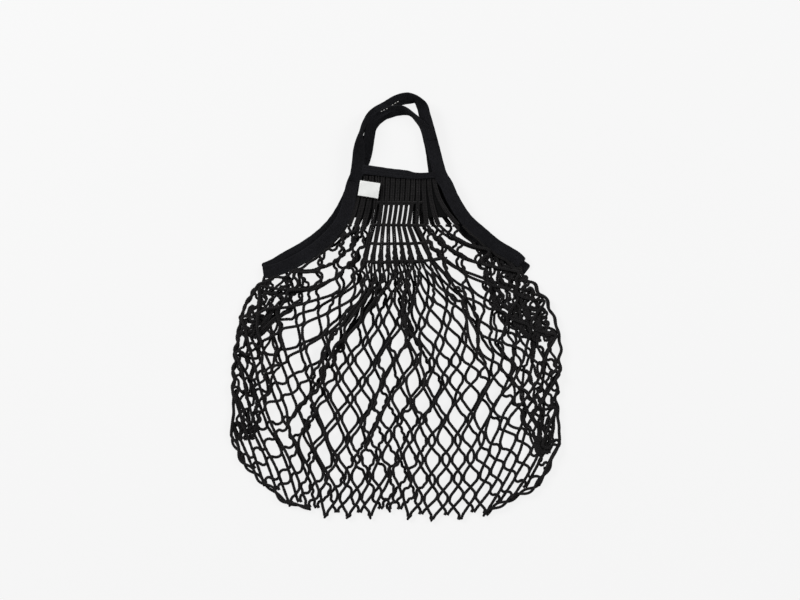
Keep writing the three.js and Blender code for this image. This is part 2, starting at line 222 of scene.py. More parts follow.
def from_shares(table):
    """Outline rows in millimetres."""
    table = np.array(table)
    return np.column_stack([MIDDLE_X + NET_HALF * table[:, 0], HEM_Y - NET_DEEP * table[:, 1]])


# places of the first and the last row of knots, left to right, in millimetres
TOPS = np.array([-57, -52, -44, -34.5, -25, -19, -13, -7, -1, 5, 11, 18.5, 29, 40.5, 52.5, 66])
TIPS = np.array([
    (-196, -157), (-184, -184), (-158, -211), (-127, -236), (-105, -240), (-85, -250),
    (-58, -251), (-32, -250), (-9, -242), (15, -251), (42, -254), (76, -253),
    (106, -247), (136, -230), (170, -211), (185, -183),
], float)


def panel_edges(tape, shift, bottom):
    """Edges of a panel's netting: top and bottom are its first and last knots, left and right are lines."""
    edge = inner_edge(tape)
    low = HEM_Y - YOKE_DROP
    half = len(edge) // 2
    left_arm = edge[:half][edge[:half, 1] < low][::-1]
    right_arm = edge[half:][edge[half:, 1] < low]
    sides = []
    for arm, table, tip in ((left_arm, LEFT_SIDE, TIPS[:1]), (right_arm, RIGHT_SIDE, TIPS[-1:])):
        side = smooth_line(from_shares(table), np.linspace(0, 1, 200))
        sides.append(np.vstack([arm, side[side[:, 1] > tip[0, 1]], tip]))
    left, right = sides
    grown = np.interp(TOPS, [TOPS[0], TOPS[-1]], [left[0, 0], right[0, 0]])
    ends = np.abs(np.linspace(-1, 1, len(TOPS))) ** 6
    x = TOPS * (1 - ends) + grown * ends + shift * (1 - ends)
    top = np.column_stack([x, np.full(len(x), low)])
    return {"top": top, "left": left, "right": right, "bottom": bottom}


front_edges = panel_edges(front_tape_rows, 0.0, TIPS)
# the back ribs lie straight under the front ones near the middle, and between them at both sides
back_shift = np.interp(TOPS, [-57, -30, -22, 12, 27, 66], [5.0, 4.6, 0.3, 0.3, -5.0, -5.6])
# the back panel's last knots lie between those of the front one, a little higher
between_tips = np.vstack([TIPS[:1], (TIPS[1:-1] + TIPS[2:]) / 2 + [0, 4], TIPS[-1:]])
back_edges = panel_edges(back_tape_rows, back_shift, between_tips)
print("yoke's lower edge:", np.round(front_edges["top"][[0, -1]], 1).tolist())

# %% [markdown]
# ## Meshes from grids of rings
# Cords and bands have the same topology: a closed ring of points carried along a path. One helper turns any
# array of such rings into a mesh, with a cap at both ends and a UV map in real lengths, so that a stitch
# pattern keeps its size on every piece. Modifiers could skin a curve too, but arrays keep the twist, the
# width and the stitches of each piece in plain sight.

# %% Mesh helpers
def put_mesh(name, points, quads, corners_uv, tris=None):
    """Mesh in metres from points in millimetres, quads, and an optional list of triangles.

    corners_uv holds u, v for each corner of each quad. Triangles close the ends and get u, v of zero.
    """
    tris = np.zeros((0, 3), int) if tris is None else tris
    mesh = bpy.data.meshes.new(name)
    corners = np.concatenate([quads.ravel(), tris.ravel()]).astype(np.int32)
    sizes = np.concatenate([np.full(len(quads), 4), np.full(len(tris), 3)]).astype(np.int32)
    starts = np.concatenate([[0], np.cumsum(sizes)[:-1]]).astype(np.int32)
    mesh.vertices.add(len(points))
    mesh.vertices.foreach_set("co", (np.asarray(points, float) * MM).astype(np.float32).ravel())
    mesh.loops.add(len(corners))
    mesh.loops.foreach_set("vertex_index", corners)
    mesh.polygons.add(len(sizes))
    mesh.polygons.foreach_set("loop_start", starts)
    mesh.polygons.foreach_set("use_smooth", np.ones(len(sizes), bool))
    mesh.update(calc_edges=True)
    layer = mesh.uv_layers.new(name="lengths")
    flat = np.zeros((len(corners), 2), np.float32)
    flat[: quads.size] = corners_uv.reshape(-1, 2)
    layer.data.foreach_set("uv", flat.ravel())
    mesh.validate()
    piece = bpy.data.objects.new(name, mesh)
    bpy.context.scene.collection.objects.link(piece)
    return piece


def swept(name, rings):
    """Closed tubes from rings[tube, step, side], capped at both ends.

    Side s of step r is joined to side s + 1 and to step r + 1. u is the length round the ring and v the
    length along the path, both in millimetres.
    """
    tubes, steps, sides, _ = rings.shape
    index = np.arange(tubes * steps * sides).reshape(tubes, steps, sides)
    after = np.roll(index, -1, axis=2)
    quads = np.stack([index[:, :-1], after[:, :-1], after[:, 1:], index[:, 1:]], axis=-1).reshape(-1, 4)
    around = np.linalg.norm(np.roll(rings, -1, axis=2) - rings, axis=-1).mean(axis=1).cumsum(axis=1)
    u1 = around[:, None]
    u0 = np.concatenate([np.zeros((tubes, 1, 1)), u1[..., :-1]], axis=-1)
    middle = rings.mean(axis=2)
    v = run_along(middle)[..., None]
    v0, v1 = v[:, :-1], v[:, 1:]
    corners = ((u0, v0), (u1, v0), (u1, v1), (u0, v1))
    uv = np.stack([np.stack(np.broadcast_arrays(*corner), -1) for corner in corners], axis=3)
    centres = middle[:, [0, -1]].reshape(-1, 3)
    first = tubes * steps * sides + 2 * np.arange(tubes)[:, None] + np.zeros((1, sides), int)
    start = np.stack([first, after[:, 0], index[:, 0]], -1).reshape(-1, 3)
    end = np.stack([first + 1, index[:, -1], after[:, -1]], -1).reshape(-1, 3)
    points = np.vstack([rings.reshape(-1, 3), centres])
    return put_mesh(name, points, quads, uv, np.vstack([start, end]))


def path_frames(paths):
    """Unit vectors across and up for paths[tube, step].

    Across is level and to the left of the travel, and up is at right angles to it and to the path.
    """
    ahead = np.gradient(paths, axis=1)
    ahead /= np.linalg.norm(ahead, axis=-1, keepdims=True) + 1e-12
    across = np.stack([-ahead[..., 1], ahead[..., 0], np.zeros(ahead.shape[:-1])], -1)
    across /= np.linalg.norm(across, axis=-1, keepdims=True) + 1e-12
    return across, np.cross(ahead, across)


def cord_rings(paths, radius, sides=8, depth=1.0):
    """Rings of a round or flattened cord: path + r (cos a across + depth sin a up)."""
    across, up = path_frames(paths)
    angle = np.arange(sides) * 2 * np.pi / sides
    radius = np.broadcast_to(radius, paths.shape[:2])[..., None, None]
    wide = np.cos(angle)[:, None] * across[:, :, None, :]
    high = np.sin(angle)[:, None] * up[:, :, None, :] * depth
    return paths[:, :, None, :] + radius * (wide + high)


def finer(paths, step):
    """Paths[tube, point] resampled by a Catmull-Rom curve with about the given step in millimetres."""
    lengths = np.linalg.norm(np.diff(paths, axis=1), axis=-1).sum(axis=1)
    count = int(np.ceil(lengths.mean() / step))
    place = np.linspace(0, paths.shape[1] - 1, count)
    k = np.minimum(place.astype(int), paths.shape[1] - 2)
    w = (place - k)[None, :, None]
    before, after = 2 * paths[:, :1] - paths[:, 1:2], 2 * paths[:, -1:] - paths[:, -2:-1]
    padded = np.concatenate([before, paths, after], axis=1)
    a, b, c, d = (padded[:, k + shift] for shift in range(4))
    return 0.5 * (2 * b + (c - a) * w + (2 * a - 5 * b + 4 * c - d) * w**2 + (3 * b - 3 * c + d - a) * w**3)


def soft_noise(x, y, size, seed):
    """Smooth noise between -1 and 1: a sum of six sine waves of random direction about one size long."""
    pick = np.random.default_rng(seed)
    turn = pick.uniform(0, 2 * np.pi, 6)
    wave = 2 * np.pi / (size * pick.uniform(0.7, 1.5, 6))
    shift = pick.uniform(0, 2 * np.pi, 6)
    along = x[..., None] * np.cos(turn) + y[..., None] * np.sin(turn)
    return np.sin(along * wave + shift).sum(axis=-1) / 3.2


# %% [markdown]
# ## How high everything lies
# The back panel lies on the table. The front panel lies on it, and the slack netting between stands up in a
# low crown. A panel's height comes from its four edges, as its place does, plus that crown, which breaks up
# into the long soft pleats that slack netting falls into.

# %% Where a point of the netting lies
# cords and rows of knots of a panel, rows that stay a ladder, and straight parts from knot to knot
COLUMNS = 30
ROWS = 15
LADDER = 2
LEG_PARTS = 6


def at_index(rows, share):
    """Points at shares of the number of rows: the rows themselves are evenly spread over the share."""
    place = np.linspace(0, 1, len(rows))
    return np.stack([np.interp(share, place, rows[:, k]) for k in range(rows.shape[1])], axis=-1)


def panel_place(edges, u, v):
    """Place on a patch: blend of left and right, plus blend of top and bottom, less blend of corners."""
    top, bottom = at_index(edges["top"], u), at_index(edges["bottom"], u)
    left, right = at_share(edges["left"], v), at_share(edges["right"], v)
    u, v = u[..., None], v[..., None]
    sides = (1 - u) * left + u * right
    ends = (1 - v) * top + v * bottom
    corner = (1 - u) * (1 - v) * edges["top"][0] + u * (1 - v) * edges["top"][-1]
    corner = corner + (1 - u) * v * edges["bottom"][0] + u * v * edges["bottom"][-1]
    return sides + ends - corner


# %% [markdown]
# ## Pleats of the slack netting
# Nobody lays a net bag quite flat: neighbouring cords gather into dark bundles that run down from the yoke,
# and open fields lie between them. Each bundle is a line, and the cords near it are drawn towards it.

# %% Lines that the cords gather along
# x1, y1, x2, y2, reach, strength, in millimetres from the middle of the object
PLEATS = [
    (-26, 24, -74, -41, 24, 0.70), (-74, -41, -128, -150, 24, 0.62), (10, 44, 13, -23, 20, 0.60),
    (13, -23, 32, -62, 18, 0.60), (86, -6, 118, -120, 22, 0.60), (-165, 22, -176, -60, 24, 0.60),
    (140, 46, 176, -40, 30, 0.62), (52, 40, 86, -6, 22, 0.45), (-16, -80, -36, -150, 16, 0.30),
    (58, -90, 66, -160, 16, 0.30), (-176, -60, -186, -130, 18, 0.45), (176, -40, 184, -150, 18, 0.50),
    (-110, 30, -150, 12, 16, 0.45),
]


def gathered(points):
    """Points drawn to the pleat lines: each moves back by strength d exp(-(d / reach)^2 - (b / 20)^2).

    d is the distance to the line, and b how far the point lies beyond its ends.
    """
    moved = points.copy()
    for x1, y1, x2, y2, reach, strength in PLEATS:
        ahead = np.array([x2 - x1, y2 - y1], float)
        length = np.linalg.norm(ahead)
        ahead /= length
        across = np.array([-ahead[1], ahead[0]])
        off = points - [x1, y1]
        along = off @ ahead
        beyond = np.maximum(0, np.maximum(-along, along - length))
        d = off @ across
        pull = strength * d * np.exp(-((d / reach) ** 2)) * np.exp(-((beyond / 20) ** 2))
        moved -= pull[..., None] * across
    return moved


# %% [markdown]
# ## Relaxing the netting
# A net's cords hardly stretch, so its shape comes from their length. Every cord of the panel is a chain of
# short straight parts. The chains start from a patch and are then pulled, a few hundred times, towards their
# real lengths, towards the knots that tie neighbours together, and away from sharp folds. This is position
# based dynamics, which needs no solver settings and gives the same result each run.

# %% Chains of cord
# heights of the rows down the middle, in millimetres: two ladder rows, then rows that hang straighter above
MIDDLE_ROWS = np.array([22.8] * LADDER + [24.6] * 4 + [23.2] * 9)
UPPER_LEG = 26.2
LOWER_LEG = 26.0
# 0 for the tight ribs in the middle, 1 for the loose ones at both sides
LOOSE = np.clip((np.abs(np.linspace(-1, 1, COLUMNS)) - 0.58) / 0.1, 0, 1)[:, None]
LADDER_ROWS = np.where(LOOSE > 0.5, 0, LADDER)


def cord_radius(level, outer=0.0):
    """Radius of a cord by its row: thin where the middle ribs are pulled tight, full from the fourth row on.

    outer is 0 for the tight ribs and 1 for the loose ones at both sides, which are nearly full all the way.
    """
    tight = np.interp(level, [0, 1, 2, 4], [1.12, 1.20, 1.42, CORD / 2])
    return tight + (CORD / 2 - tight) * 0.85 * outer


def tie(chains, first, second, parts, rest, share):
    """Moves two chains towards a rest distance at the given parts, each by half the given share."""
    gap = chains[second[:, None], parts] - chains[first[:, None], parts]
    far = np.linalg.norm(gap, axis=-1, keepdims=True) + 1e-9
    step = gap * (far - rest[None, :, None]) / far * share / 2
    chains[first[:, None], parts] += step
    chains[second[:, None], parts] -= step


def panel_knots(parts):
    """Groups of cords tied to their right neighbour, each with the parts where they are tied.

    On even rows the two cords of a rib meet, on odd rows the cords of neighbouring ribs. In the ladder the
    two cords of a tight rib stay together all the way, and only the loose ribs meet their neighbours.
    """
    level = np.arange(parts) / LEG_PARTS
    whole = np.arange(parts) % LEG_PARTS == 0
    even, odd = np.arange(0, COLUMNS - 1, 2), np.arange(1, COLUMNS - 1, 2)
    knots = np.nonzero(whole & (level % 2 == 0))[0]
    between = np.nonzero(whole & (level % 2 == 1) & (level > LADDER))[0]
    ladder = np.nonzero((level <= LADDER) & (level % 2 != 0))[0]
    slack = LOOSE[:, 0] > 0.5
    tight, loose = even[~slack[even]], odd[slack[odd] & slack[odd + 1]]
    return [(odd, between), (even, knots), (tight, ladder), (loose, np.array([LEG_PARTS]))]


def relaxed(start, held, wanted, legs, groups, radius, pull=0.02, rounds=360):
    """Chains[cord, part, 2] pulled to their lengths and knots, with some points held in place.

    One round moves each point a small share of the way to its wanted place, opens folds that are too sharp,
    takes each part to its rest length, even parts before odd ones, and closes the knots. The parts next to a
    knot are drawn together too, less strongly and 0.9 mm wider.
    """
    chains = start.copy()
    parts = chains.shape[1]
    rest = legs / LEG_PARTS
    knot_gap = 1.76 * radius
    for _ in range(rounds):
        chains += pull * (wanted - chains)
        for begin in (0, 1, 2):
            a = np.arange(begin, parts - 2, 3)
            gap = chains[:, a + 2] - chains[:, a]
            far = np.linalg.norm(gap, axis=-1, keepdims=True) + 1e-9
            least = 0.93 * (rest[:, a] + rest[:, a + 1])[..., None]
            step = gap / far * np.minimum(0, far - least) * 0.25
            chains[:, a] += step
            chains[:, a + 2] -= step
        for begin in (0, 1):
            a = np.arange(begin, parts - 1, 2)
            gap = chains[:, a + 1] - chains[:, a]
            far = np.linalg.norm(gap, axis=-1, keepdims=True) + 1e-9
            step = gap / far * (far - rest[:, a, None]) * 0.5
            chains[:, a] += step
            chains[:, a + 1] -= step
        for near, share, wider in ((0, 1.0, 0.0), (-1, 0.25, 0.9), (1, 0.25, 0.9)):
            for first, at in groups:
                at = at + near
                at = at[(at >= 0) & (at < parts)]
                tie(chains, first, first + 1, at, knot_gap[at] + wider, share)
        chains[held] = start[held]
    return chains


# %% [markdown]
# ## The two panels
# Each panel starts from its patch. Along a cord, the rows of knots are spaced by length, so the middle rows
# keep the heights that the photograph shows. The outermost cord of a side is its selvedge and stays on the
# outline. The back panel lies a few millimetres off the front one, which doubles every line of the netting.

# %% Relax both panels
def level_shares(edges, u, level):
    """Shares down the patch at which a cord has its rows: by length, after the middle heights or evenly."""
    fine = np.linspace(0, 1, 160)
    lines = panel_place(edges, *np.broadcast_arrays(u[:, None], fine))
    run = run_along(lines)
    middle_rows = np.concatenate([[0], MIDDLE_ROWS.cumsum() / MIDDLE_ROWS.sum()])
    middle_down = np.interp(level, np.arange(ROWS + 1), middle_rows)
    inner = 1 - np.abs(2 * u[:, None] - 1) ** 3
    down = inner * middle_down + (1 - inner) * level / ROWS
    return np.stack([np.interp(share * line[-1], line, fine) for share, line in zip(down, run)])


def fanned(u, v):
    """Share across, tighter in the middle: 0.5 + 0.5 sinh(k (2 u - 1)) / sinh(k), k by the share down."""
    k = np.interp(v, [0, 0.07, 0.13, 0.27, 0.45, 0.65], [0.01, 0.7, 1.1, 1.45, 1.1, 0.01])
    k = k * np.where(u > 0.5, 0.7, 1.0)
    return 0.5 + 0.5 * np.sinh(k * (2 * u - 1)) / np.sinh(k)


def swung_columns(cords, level):
    """Columns of the cords down their chains, and their swing s = 0.5 (1 + cos(pi level)).

    Cord k meets one neighbour on even rows, at s = 1, and the other on odd rows, at s = 0: it is at
    k -+ 0.5 (1 - s) +- 0.5 s.
    """
    cord = np.arange(cords)[:, None]
    half = np.where(cord % 2 == 0, 0.5, -0.5)
    swing = 0.5 * (1 + np.cos(np.pi * level))
    return (cord - half) * (1 - swing) + (cord + half) * swing, swing


def netting_chains(edges, seed, drift):
    """Relaxed chains of one panel, and their shares across and down."""
    parts = ROWS * LEG_PARTS + 1
    wale = np.arange(COLUMNS)
    level = np.arange(parts) / LEG_PARTS
    column, swing = swung_columns(COLUMNS, np.maximum(0, level - LADDER_ROWS))
    column[0], column[-1] = -0.5, COLUMNS - 0.5
    u = (column + 0.5) / COLUMNS
    v = level_shares(edges, (wale + 0.5) / COLUMNS, level)
    u = fanned(u, v)
    place = panel_place(edges, u, v)
    side = np.stack([np.gradient(place[0], axis=0), np.gradient(place[-1], axis=0)])
    side /= np.linalg.norm(side, axis=-1, keepdims=True)
    inward = np.stack([-side[..., 1], side[..., 0]], -1) * np.array([1, -1])[:, None, None]
    wave = 2.2 + 1.3 * np.sin(level * np.pi * 2 + seed) + 0.9 * np.sin(level * 5.1 + seed)
    place[[0, -1]] += inward * (wave * np.minimum(1, 4 * np.minimum(v[0], 1 - v[0])))[None, :, None]
    apart = np.where(wale % 2 == 0, -1.0, 1.0)[:, None] * (2 * swing - 1)
    shift = apart * cord_radius(level, LOOSE) * 0.88
    shift[[0, -1]] = 0
    place[..., 0] += shift
    held = np.zeros((COLUMNS, parts), bool)
    held[:, [0, -1]] = True
    held[[0, -1]] = True
    inside = np.minimum(1, 7 * np.minimum(u, 1 - u)) * np.clip(5 * np.minimum(v - 0.1, 1 - v), 0, 1)
    x, y = place[..., 0], place[..., 1]
    outer = np.abs(2 * u - 1) ** 2
    wander = []
    for long, least, short, pick in ((80, 2.4, 30, seed + 1), (70, 1.6, 26, seed + 3)):
        slow, quick = soft_noise(x, y, long, pick), soft_noise(x, y, short, pick + 1)
        wander.append(slow * (least + 9 * outer) + quick * (0.3 + 5 * outer))
    wander = np.stack(wander, -1)
    wanted = gathered(place) * inside[..., None] + place * (1 - inside[..., None])
    wanted = wanted + (wander + drift) * inside[..., None]
    wanted[held] = place[held]
    legs = np.interp(level[:-1], [5, 8], [UPPER_LEG, LOWER_LEG]) * (1 + 0.12 * outer[:, :-1] ** 1.5)
    drawn = np.linalg.norm(np.diff(place, axis=1), axis=-1) * LEG_PARTS
    legs = np.where(level[:-1] < LADDER_ROWS, drawn, legs)
    return relaxed(wanted, held, wanted, legs, panel_knots(parts), cord_radius(level)), u, v


front_chains, front_u, front_v = netting_chains(front_edges, 11, np.array([-2.0, 1.0]))
back_chains, back_u, back_v = netting_chains(back_edges, 29, np.array([5.5, -4.5]))
lengths = run_along(front_chains)[:, -1]
print(f"front cords {lengths.min():.0f} to {lengths.max():.0f} mm long, {lengths.sum() / 1000:.1f} m in all")

# %% [markdown]
# ## Netting folded in at the sides
# The bag's netting is a tube that is wider than the bag lying flat, so its spare width folds in between the
# two layers. It gathers below the ends of the tapes, where it is darkest, and thins out down the sides.

# %% Relax the folded strips
# name, cords, rows, seed, then the outer and the inner edge, top to bottom, in millimetres
STRIPS = [
    ("left_folded_netting", 12, 5, 41,
     [(-160, 30), (-171, 10), (-181, -14), (-187, -36)],
     [(-108, 44), (-112, 18), (-128, -4), (-160, -34)]),
    ("right_folded_netting", 17, 7, 47,
     [(146, 44), (162, 20), (177, -12), (187, -40)],
     [(96, 76), (104, 32), (124, -10), (160, -40)]),
    ("left_low_netting", 7, 8, 43,
     [(-176, -2), (-186, -40), (-190, -80), (-190, -120), (-188, -160)],
     [(-140, 6), (-138, -36), (-146, -80), (-160, -120), (-172, -160)]),
    ("right_low_netting", 9, 9, 49,
     [(178, -10), (187, -50), (189, -90), (188, -130), (184, -175)],
     [(122, 20), (118, -30), (130, -80), (150, -130), (168, -175)]),
]


def folded_strip(outer, inner, cords, rows, seed):
    """Relaxed chains of a strip of slack netting between two edges: far more cord than fits lies in curls."""
    parts = rows * LEG_PARTS + 1
    level = np.arange(parts) / LEG_PARTS
    column, _ = swung_columns(cords, level)
    u = np.clip(column, 0, cords - 1) / (cords - 1)
    v = np.broadcast_to(level / rows, u.shape)
    first, last = smooth_line(outer, v[0]), smooth_line(inner, v[0])
    place = first[None] * (1 - u[..., None]) + last[None] * u[..., None]
    x, y = place[..., 0], place[..., 1]
    wander = np.stack([soft_noise(x, y, 18, seed), soft_noise(x, y, 18, seed + 1)], -1) * 4
    wide = np.linalg.norm(last - first, axis=-1)[None, :, None]
    wanted = place + wander * np.minimum(1, wide / 40)
    held = np.zeros(u.shape, bool)
    held[:, [0, -1]] = True
    legs = np.full((cords, parts - 1), LOWER_LEG * 0.86)
    knots = [(np.arange(0, cords - 1, 2), np.arange(0, parts, 2 * LEG_PARTS)),
             (np.arange(1, cords - 1, 2), np.arange(LEG_PARTS, parts, 2 * LEG_PARTS))]
    return relaxed(wanted, held, wanted, legs, knots, np.full(parts, CORD / 2), pull=0.10, rounds=160)


strip_chains = {
    name: folded_strip(outer, inner, cords, rows, seed) for name, cords, rows, seed, outer, inner in STRIPS}
print("folded strips:", {name: chains.shape[:2] for name, chains in strip_chains.items()})

# %% [markdown]
# ## From chains to cords
# Each chain becomes a smooth path with its real height. Where two cords of a bundle cross, one lies on the
# other, so close points of different cords are pushed apart in height, again in small repeated steps.

# %% Heights of the cords
def edge_heights(edges, tape, base, rise):
    """Edges of a panel with a height for the underside of the cord as third column."""
    line = smooth_line(tape, np.linspace(0, 1, 400))
    raised = {}
    for name, edge in edges.items():
        gap = np.linalg.norm(edge[:, None, :2] - line[None, :, :2], axis=-1)
        near = np.exp(-(gap.min(axis=1) / 22) ** 2)
        z = base + near * (line[gap.argmin(axis=1), 2] - base)
        if name == "top":
            z = np.full(len(edge), base + rise)
        if name == "bottom":
            z = np.full(len(edge), base * 0.35)
        raised[name] = np.column_stack([edge[:, :2], z])
    for name in ("left", "right"):
        z = raised[name][:, 2]
        share = np.linspace(0, 1, len(z))
        z[:] = z * (1 - share**3) + base * 0.35 * share**3
    return raised


def cord_heights(raised, chains, u, v, crown, seed):
    """Height of a cord's middle: patch of the edges' heights plus a crown that breaks up into pleats."""
    level = panel_place(raised, u, v)[..., 2]
    fold = 0.5 + 0.5 * soft_noise(chains[..., 0] * 1.5, chains[..., 1] * 0.5, 70, seed)
    u, v = np.clip(u, 0.001, 0.999), np.clip(v, 0.001, 0.999)
    dome = np.sin(np.pi * u) ** 0.7 * np.sin(np.pi * v**0.8) ** 0.8
    return level + crown * dome * (0.35 + 0.65 * np.clip(fold, 0, 1)) + CORD / 2


def stacked(chains, z, gap, rounds=24):
    """Heights with cords lying over each other: close parts of different cords move apart up and down.

    Two parts at a distance d in the plane need sqrt(gap^2 - d^2) between their heights. Each round takes
    off 0.4 of what is missing on each side, never below 0.6 mm under the start, and smooths along the cords.
    """
    flat = chains.reshape(-1, 2)
    owner = np.repeat(np.arange(chains.shape[0]), chains.shape[1])
    part = np.tile(np.arange(chains.shape[1]), chains.shape[0])
    first, second = [], []
    for cord in range(chains.shape[0]):
        here = np.nonzero(owner == cord)[0]
        rest = np.nonzero(owner > cord)[0]
        far = np.linalg.norm(flat[here, None] - flat[None, rest], axis=-1)
        a, b = np.nonzero(far < gap * 0.92)
        keep = ~((owner[rest[b]] == cord + 1) & (part[rest[b]] == part[here[a]]))
        first.append(here[a][keep])
        second.append(rest[b][keep])
    first, second = np.concatenate(first), np.concatenate(second)
    apart = np.linalg.norm(flat[first] - flat[second], axis=1)
    need = np.sqrt(np.maximum(gap**2 - apart**2, 0))
    sign = np.where(owner[first] % 2 == 0, 1.0, -1.0)
    count = np.maximum(1, np.bincount(np.concatenate([first, second]), minlength=len(flat)))
    height = z.ravel().copy()
    least = height - 0.6
    for _ in range(rounds):
        off = height[first] - height[second]
        side = np.where(np.abs(off) > 0.4, np.sign(off), sign)
        push = np.maximum(0, need - np.abs(off)) * side * 0.4
        move = np.zeros_like(height)
        np.add.at(move, first, push)
        np.add.at(move, second, -push)
        height = np.maximum(height + move / count, least).reshape(z.shape)
        height[:, 1:-1] = 0.5 * height[:, 1:-1] + 0.25 * (height[:, :-2] + height[:, 2:])
        height = height.ravel()
    print("crossing parts:", len(first))
    return height.reshape(z.shape)


def knitted_radius(paths, radius, stitch=2.3):
    """Radius of a chain-stitched cord: it swells and shrinks once for each stitch, by a tenth."""
    phase = run_along(paths) / stitch * 2 * np.pi + 2.4 * np.arange(len(paths))[:, None]
    return radius * (1 + 0.1 * np.cos(phase))


def panel_cords(name, chains, heights, squash):
    """Cords of a panel, thin at the ladder and full below it, with a depth of squash times their width."""
    paths = finer(np.concatenate([chains, heights[..., None]], -1), 1.15)
    level = np.linspace(0, ROWS, paths.shape[1])
    radius = knitted_radius(paths, cord_radius(level, LOOSE))
    return swept(name, cord_rings(paths, radius, 8, squash))


front_raised = edge_heights(front_edges, front_tape_rows, FRONT_BASE, MOUTH_RISE - 1.5)
back_raised = edge_heights(back_edges, back_tape_rows, 0.1, 0.1)
front_z = cord_heights(front_raised, front_chains, front_u, front_v, 8.0, 5)
front_z = stacked(front_chains, front_z, CORD)
back_z = cord_heights(back_raised, back_chains, back_u, back_v, 0.5, 6)
# no cord of the back panel sinks into the table, and none rises into the front panel
back_z = np.clip(stacked(back_chains, back_z, CORD * 0.8), 1.72, CORD / 2 + 1.9)
front_netting = panel_cords("front_netting", front_chains, front_z, 0.92)
back_netting = panel_cords("back_netting", back_chains, back_z, 0.85)

# %% [markdown]
# ## Cords of the folded strips
# The strips lie between the layers, so they start at the height of the back panel's cords and heap up a
# little where they are gathered.

# %% Make the folded strips
def strip_cords(name, chains, seed):
    """Cords of a folded strip, lying over each other from the back panel's height up."""
    x, y = chains[..., 0], chains[..., 1]
    z = 3.4 + 1.6 * soft_noise(x, y, 26, seed) ** 2
    z = np.clip(stacked(chains, z, CORD * 0.8, 12), 1.9, 7.6)
    paths = finer(np.concatenate([chains, z[..., None]], -1), 1.2)
    return swept(name, cord_rings(paths, knitted_radius(paths, CORD / 2 * 0.94), 7, 0.85))


left_fold, right_fold, left_low_fold, right_low_fold = (
    strip_cords(name, chains, seed) for (name, chains), seed in zip(strip_chains.items(), (51, 53, 55, 57)))


# %% [markdown]
# ## Seam of the lower corners
# At the two lower corners the last knots lie far apart, and the seam that joins front to back shows as a
# cord of its own, wavy because it is slack.

# %% Make the corner seams
def corner_seam(name, rows, seed):
    """Two slack cords through the last knots of a corner, waving to both sides of the line between them."""
    line = even_line(smooth_line(rows, np.linspace(0, 1, 300)), 120)
    across = side_of(line)
    run = np.linspace(0, 1, len(line)) * (len(rows) - 1)
    paths = []
    for turn, height in ((0.0, 2.2), (1.9, 4.6)):
        wave = 1.9 * np.sin(run * 2 * np.pi + turn + seed) + 1.1 * np.sin(run * 5.3 + turn * 2 + seed)
        flat = line + across * wave[:, None]
        paths.append(np.column_stack([flat, np.full(len(line), height)]))
    fine = finer(np.array(paths), 1.15)
    return swept(name, cord_rings(fine, knitted_radius(fine, CORD / 2 * 0.95), 8, 0.9))


left_seam = corner_seam("left_corner_seam", TIPS[:5], 0.4)
right_seam = corner_seam("right_corner_seam", TIPS[-4:], 1.7)
# the lowest that a tail of the seam may reach, which keeps it at the real bag's length
SEAM_LOW = -256.5


def seam_knots(name, tips, seed):
    """Short thick tubes from 3 mm above each last knot down past it, like the tails of the closing seam."""
    pick = np.random.default_rng(seed)
    turn = pick.normal(0, 0.45, len(tips))
    ahead = np.column_stack([np.sin(turn), -np.cos(turn)])
    t = np.linspace(-3.5, 4.0, 8)[None, :, None] + pick.uniform(-0.5, 0.8, len(tips))[:, None, None]
    flat = tips[:, None] + ahead[:, None] * t + ahead[:, None, ::-1] * np.sin(t * 0.5) * 0.5
    flat[..., 1] = np.maximum(flat[..., 1], SEAM_LOW)
    height = np.broadcast_to(3.0, flat.shape[:2] + (1,))
    fine = finer(np.concatenate([flat, height], -1), 0.8)
    along = np.linspace(0, 1, fine.shape[1])
    shape = np.interp(along, [0, 0.15, 0.4, 0.6, 0.9, 1], [0.7, 1.25, 1.4, 0.95, 0.8, 0.4])
    return swept(name, cord_rings(fine, knitted_radius(fine, shape * CORD / 2), 8, 0.95))


knots = seam_knots("bottom_seam_knots", TIPS[2:-1], 61)
for piece in (front_netting, back_netting, left_fold, right_fold, left_low_fold, right_low_fold, knots):
    piece.data.calc_loop_triangles()
    print(piece.name, len(piece.data.loop_triangles), "triangles")

# %% [markdown]
# ## Knitted bands
# The tapes and the hems are narrow knitted bands, thick and soft, with rounded edges and fine ribs along
# them. A band's section is a flat ring that is carried along its middle line. Where the photograph shows a
# tape narrower than it is, the tape has turned onto its edge, so its section turns by that much.

# %% Section of a band and how it is carried
def band_section(wide, thick, ribs=5, across=44, round_off=6):
    """Ring of a band's section: ribbed top, half circle, flat underside, half circle, anticlockwise.

    Columns are across and up. The ribs lift the top by a cosine, fading out at the edges.
    """
    edge = thick / 2
    s = np.linspace(1, -1, across)
    top_up = edge + 0.20 * (np.cos(np.pi * ribs * s) - 1) * (1 - s**8) - 0.25 * s**6
    top = np.column_stack([s * (wide / 2 - edge), top_up])
    bend = np.linspace(np.pi / 2, 3 * np.pi / 2, round_off + 2)[1:-1]
    left = np.column_stack([-(wide / 2 - edge) + edge * np.cos(bend), edge * np.sin(bend)])
    under_up = -edge + 0.1 * (1 - np.cos(np.pi * ribs * s)) * (1 - s**4)
    under = np.column_stack([-s * (wide / 2 - edge), under_up])
    return np.vstack([top, left, under, -left])


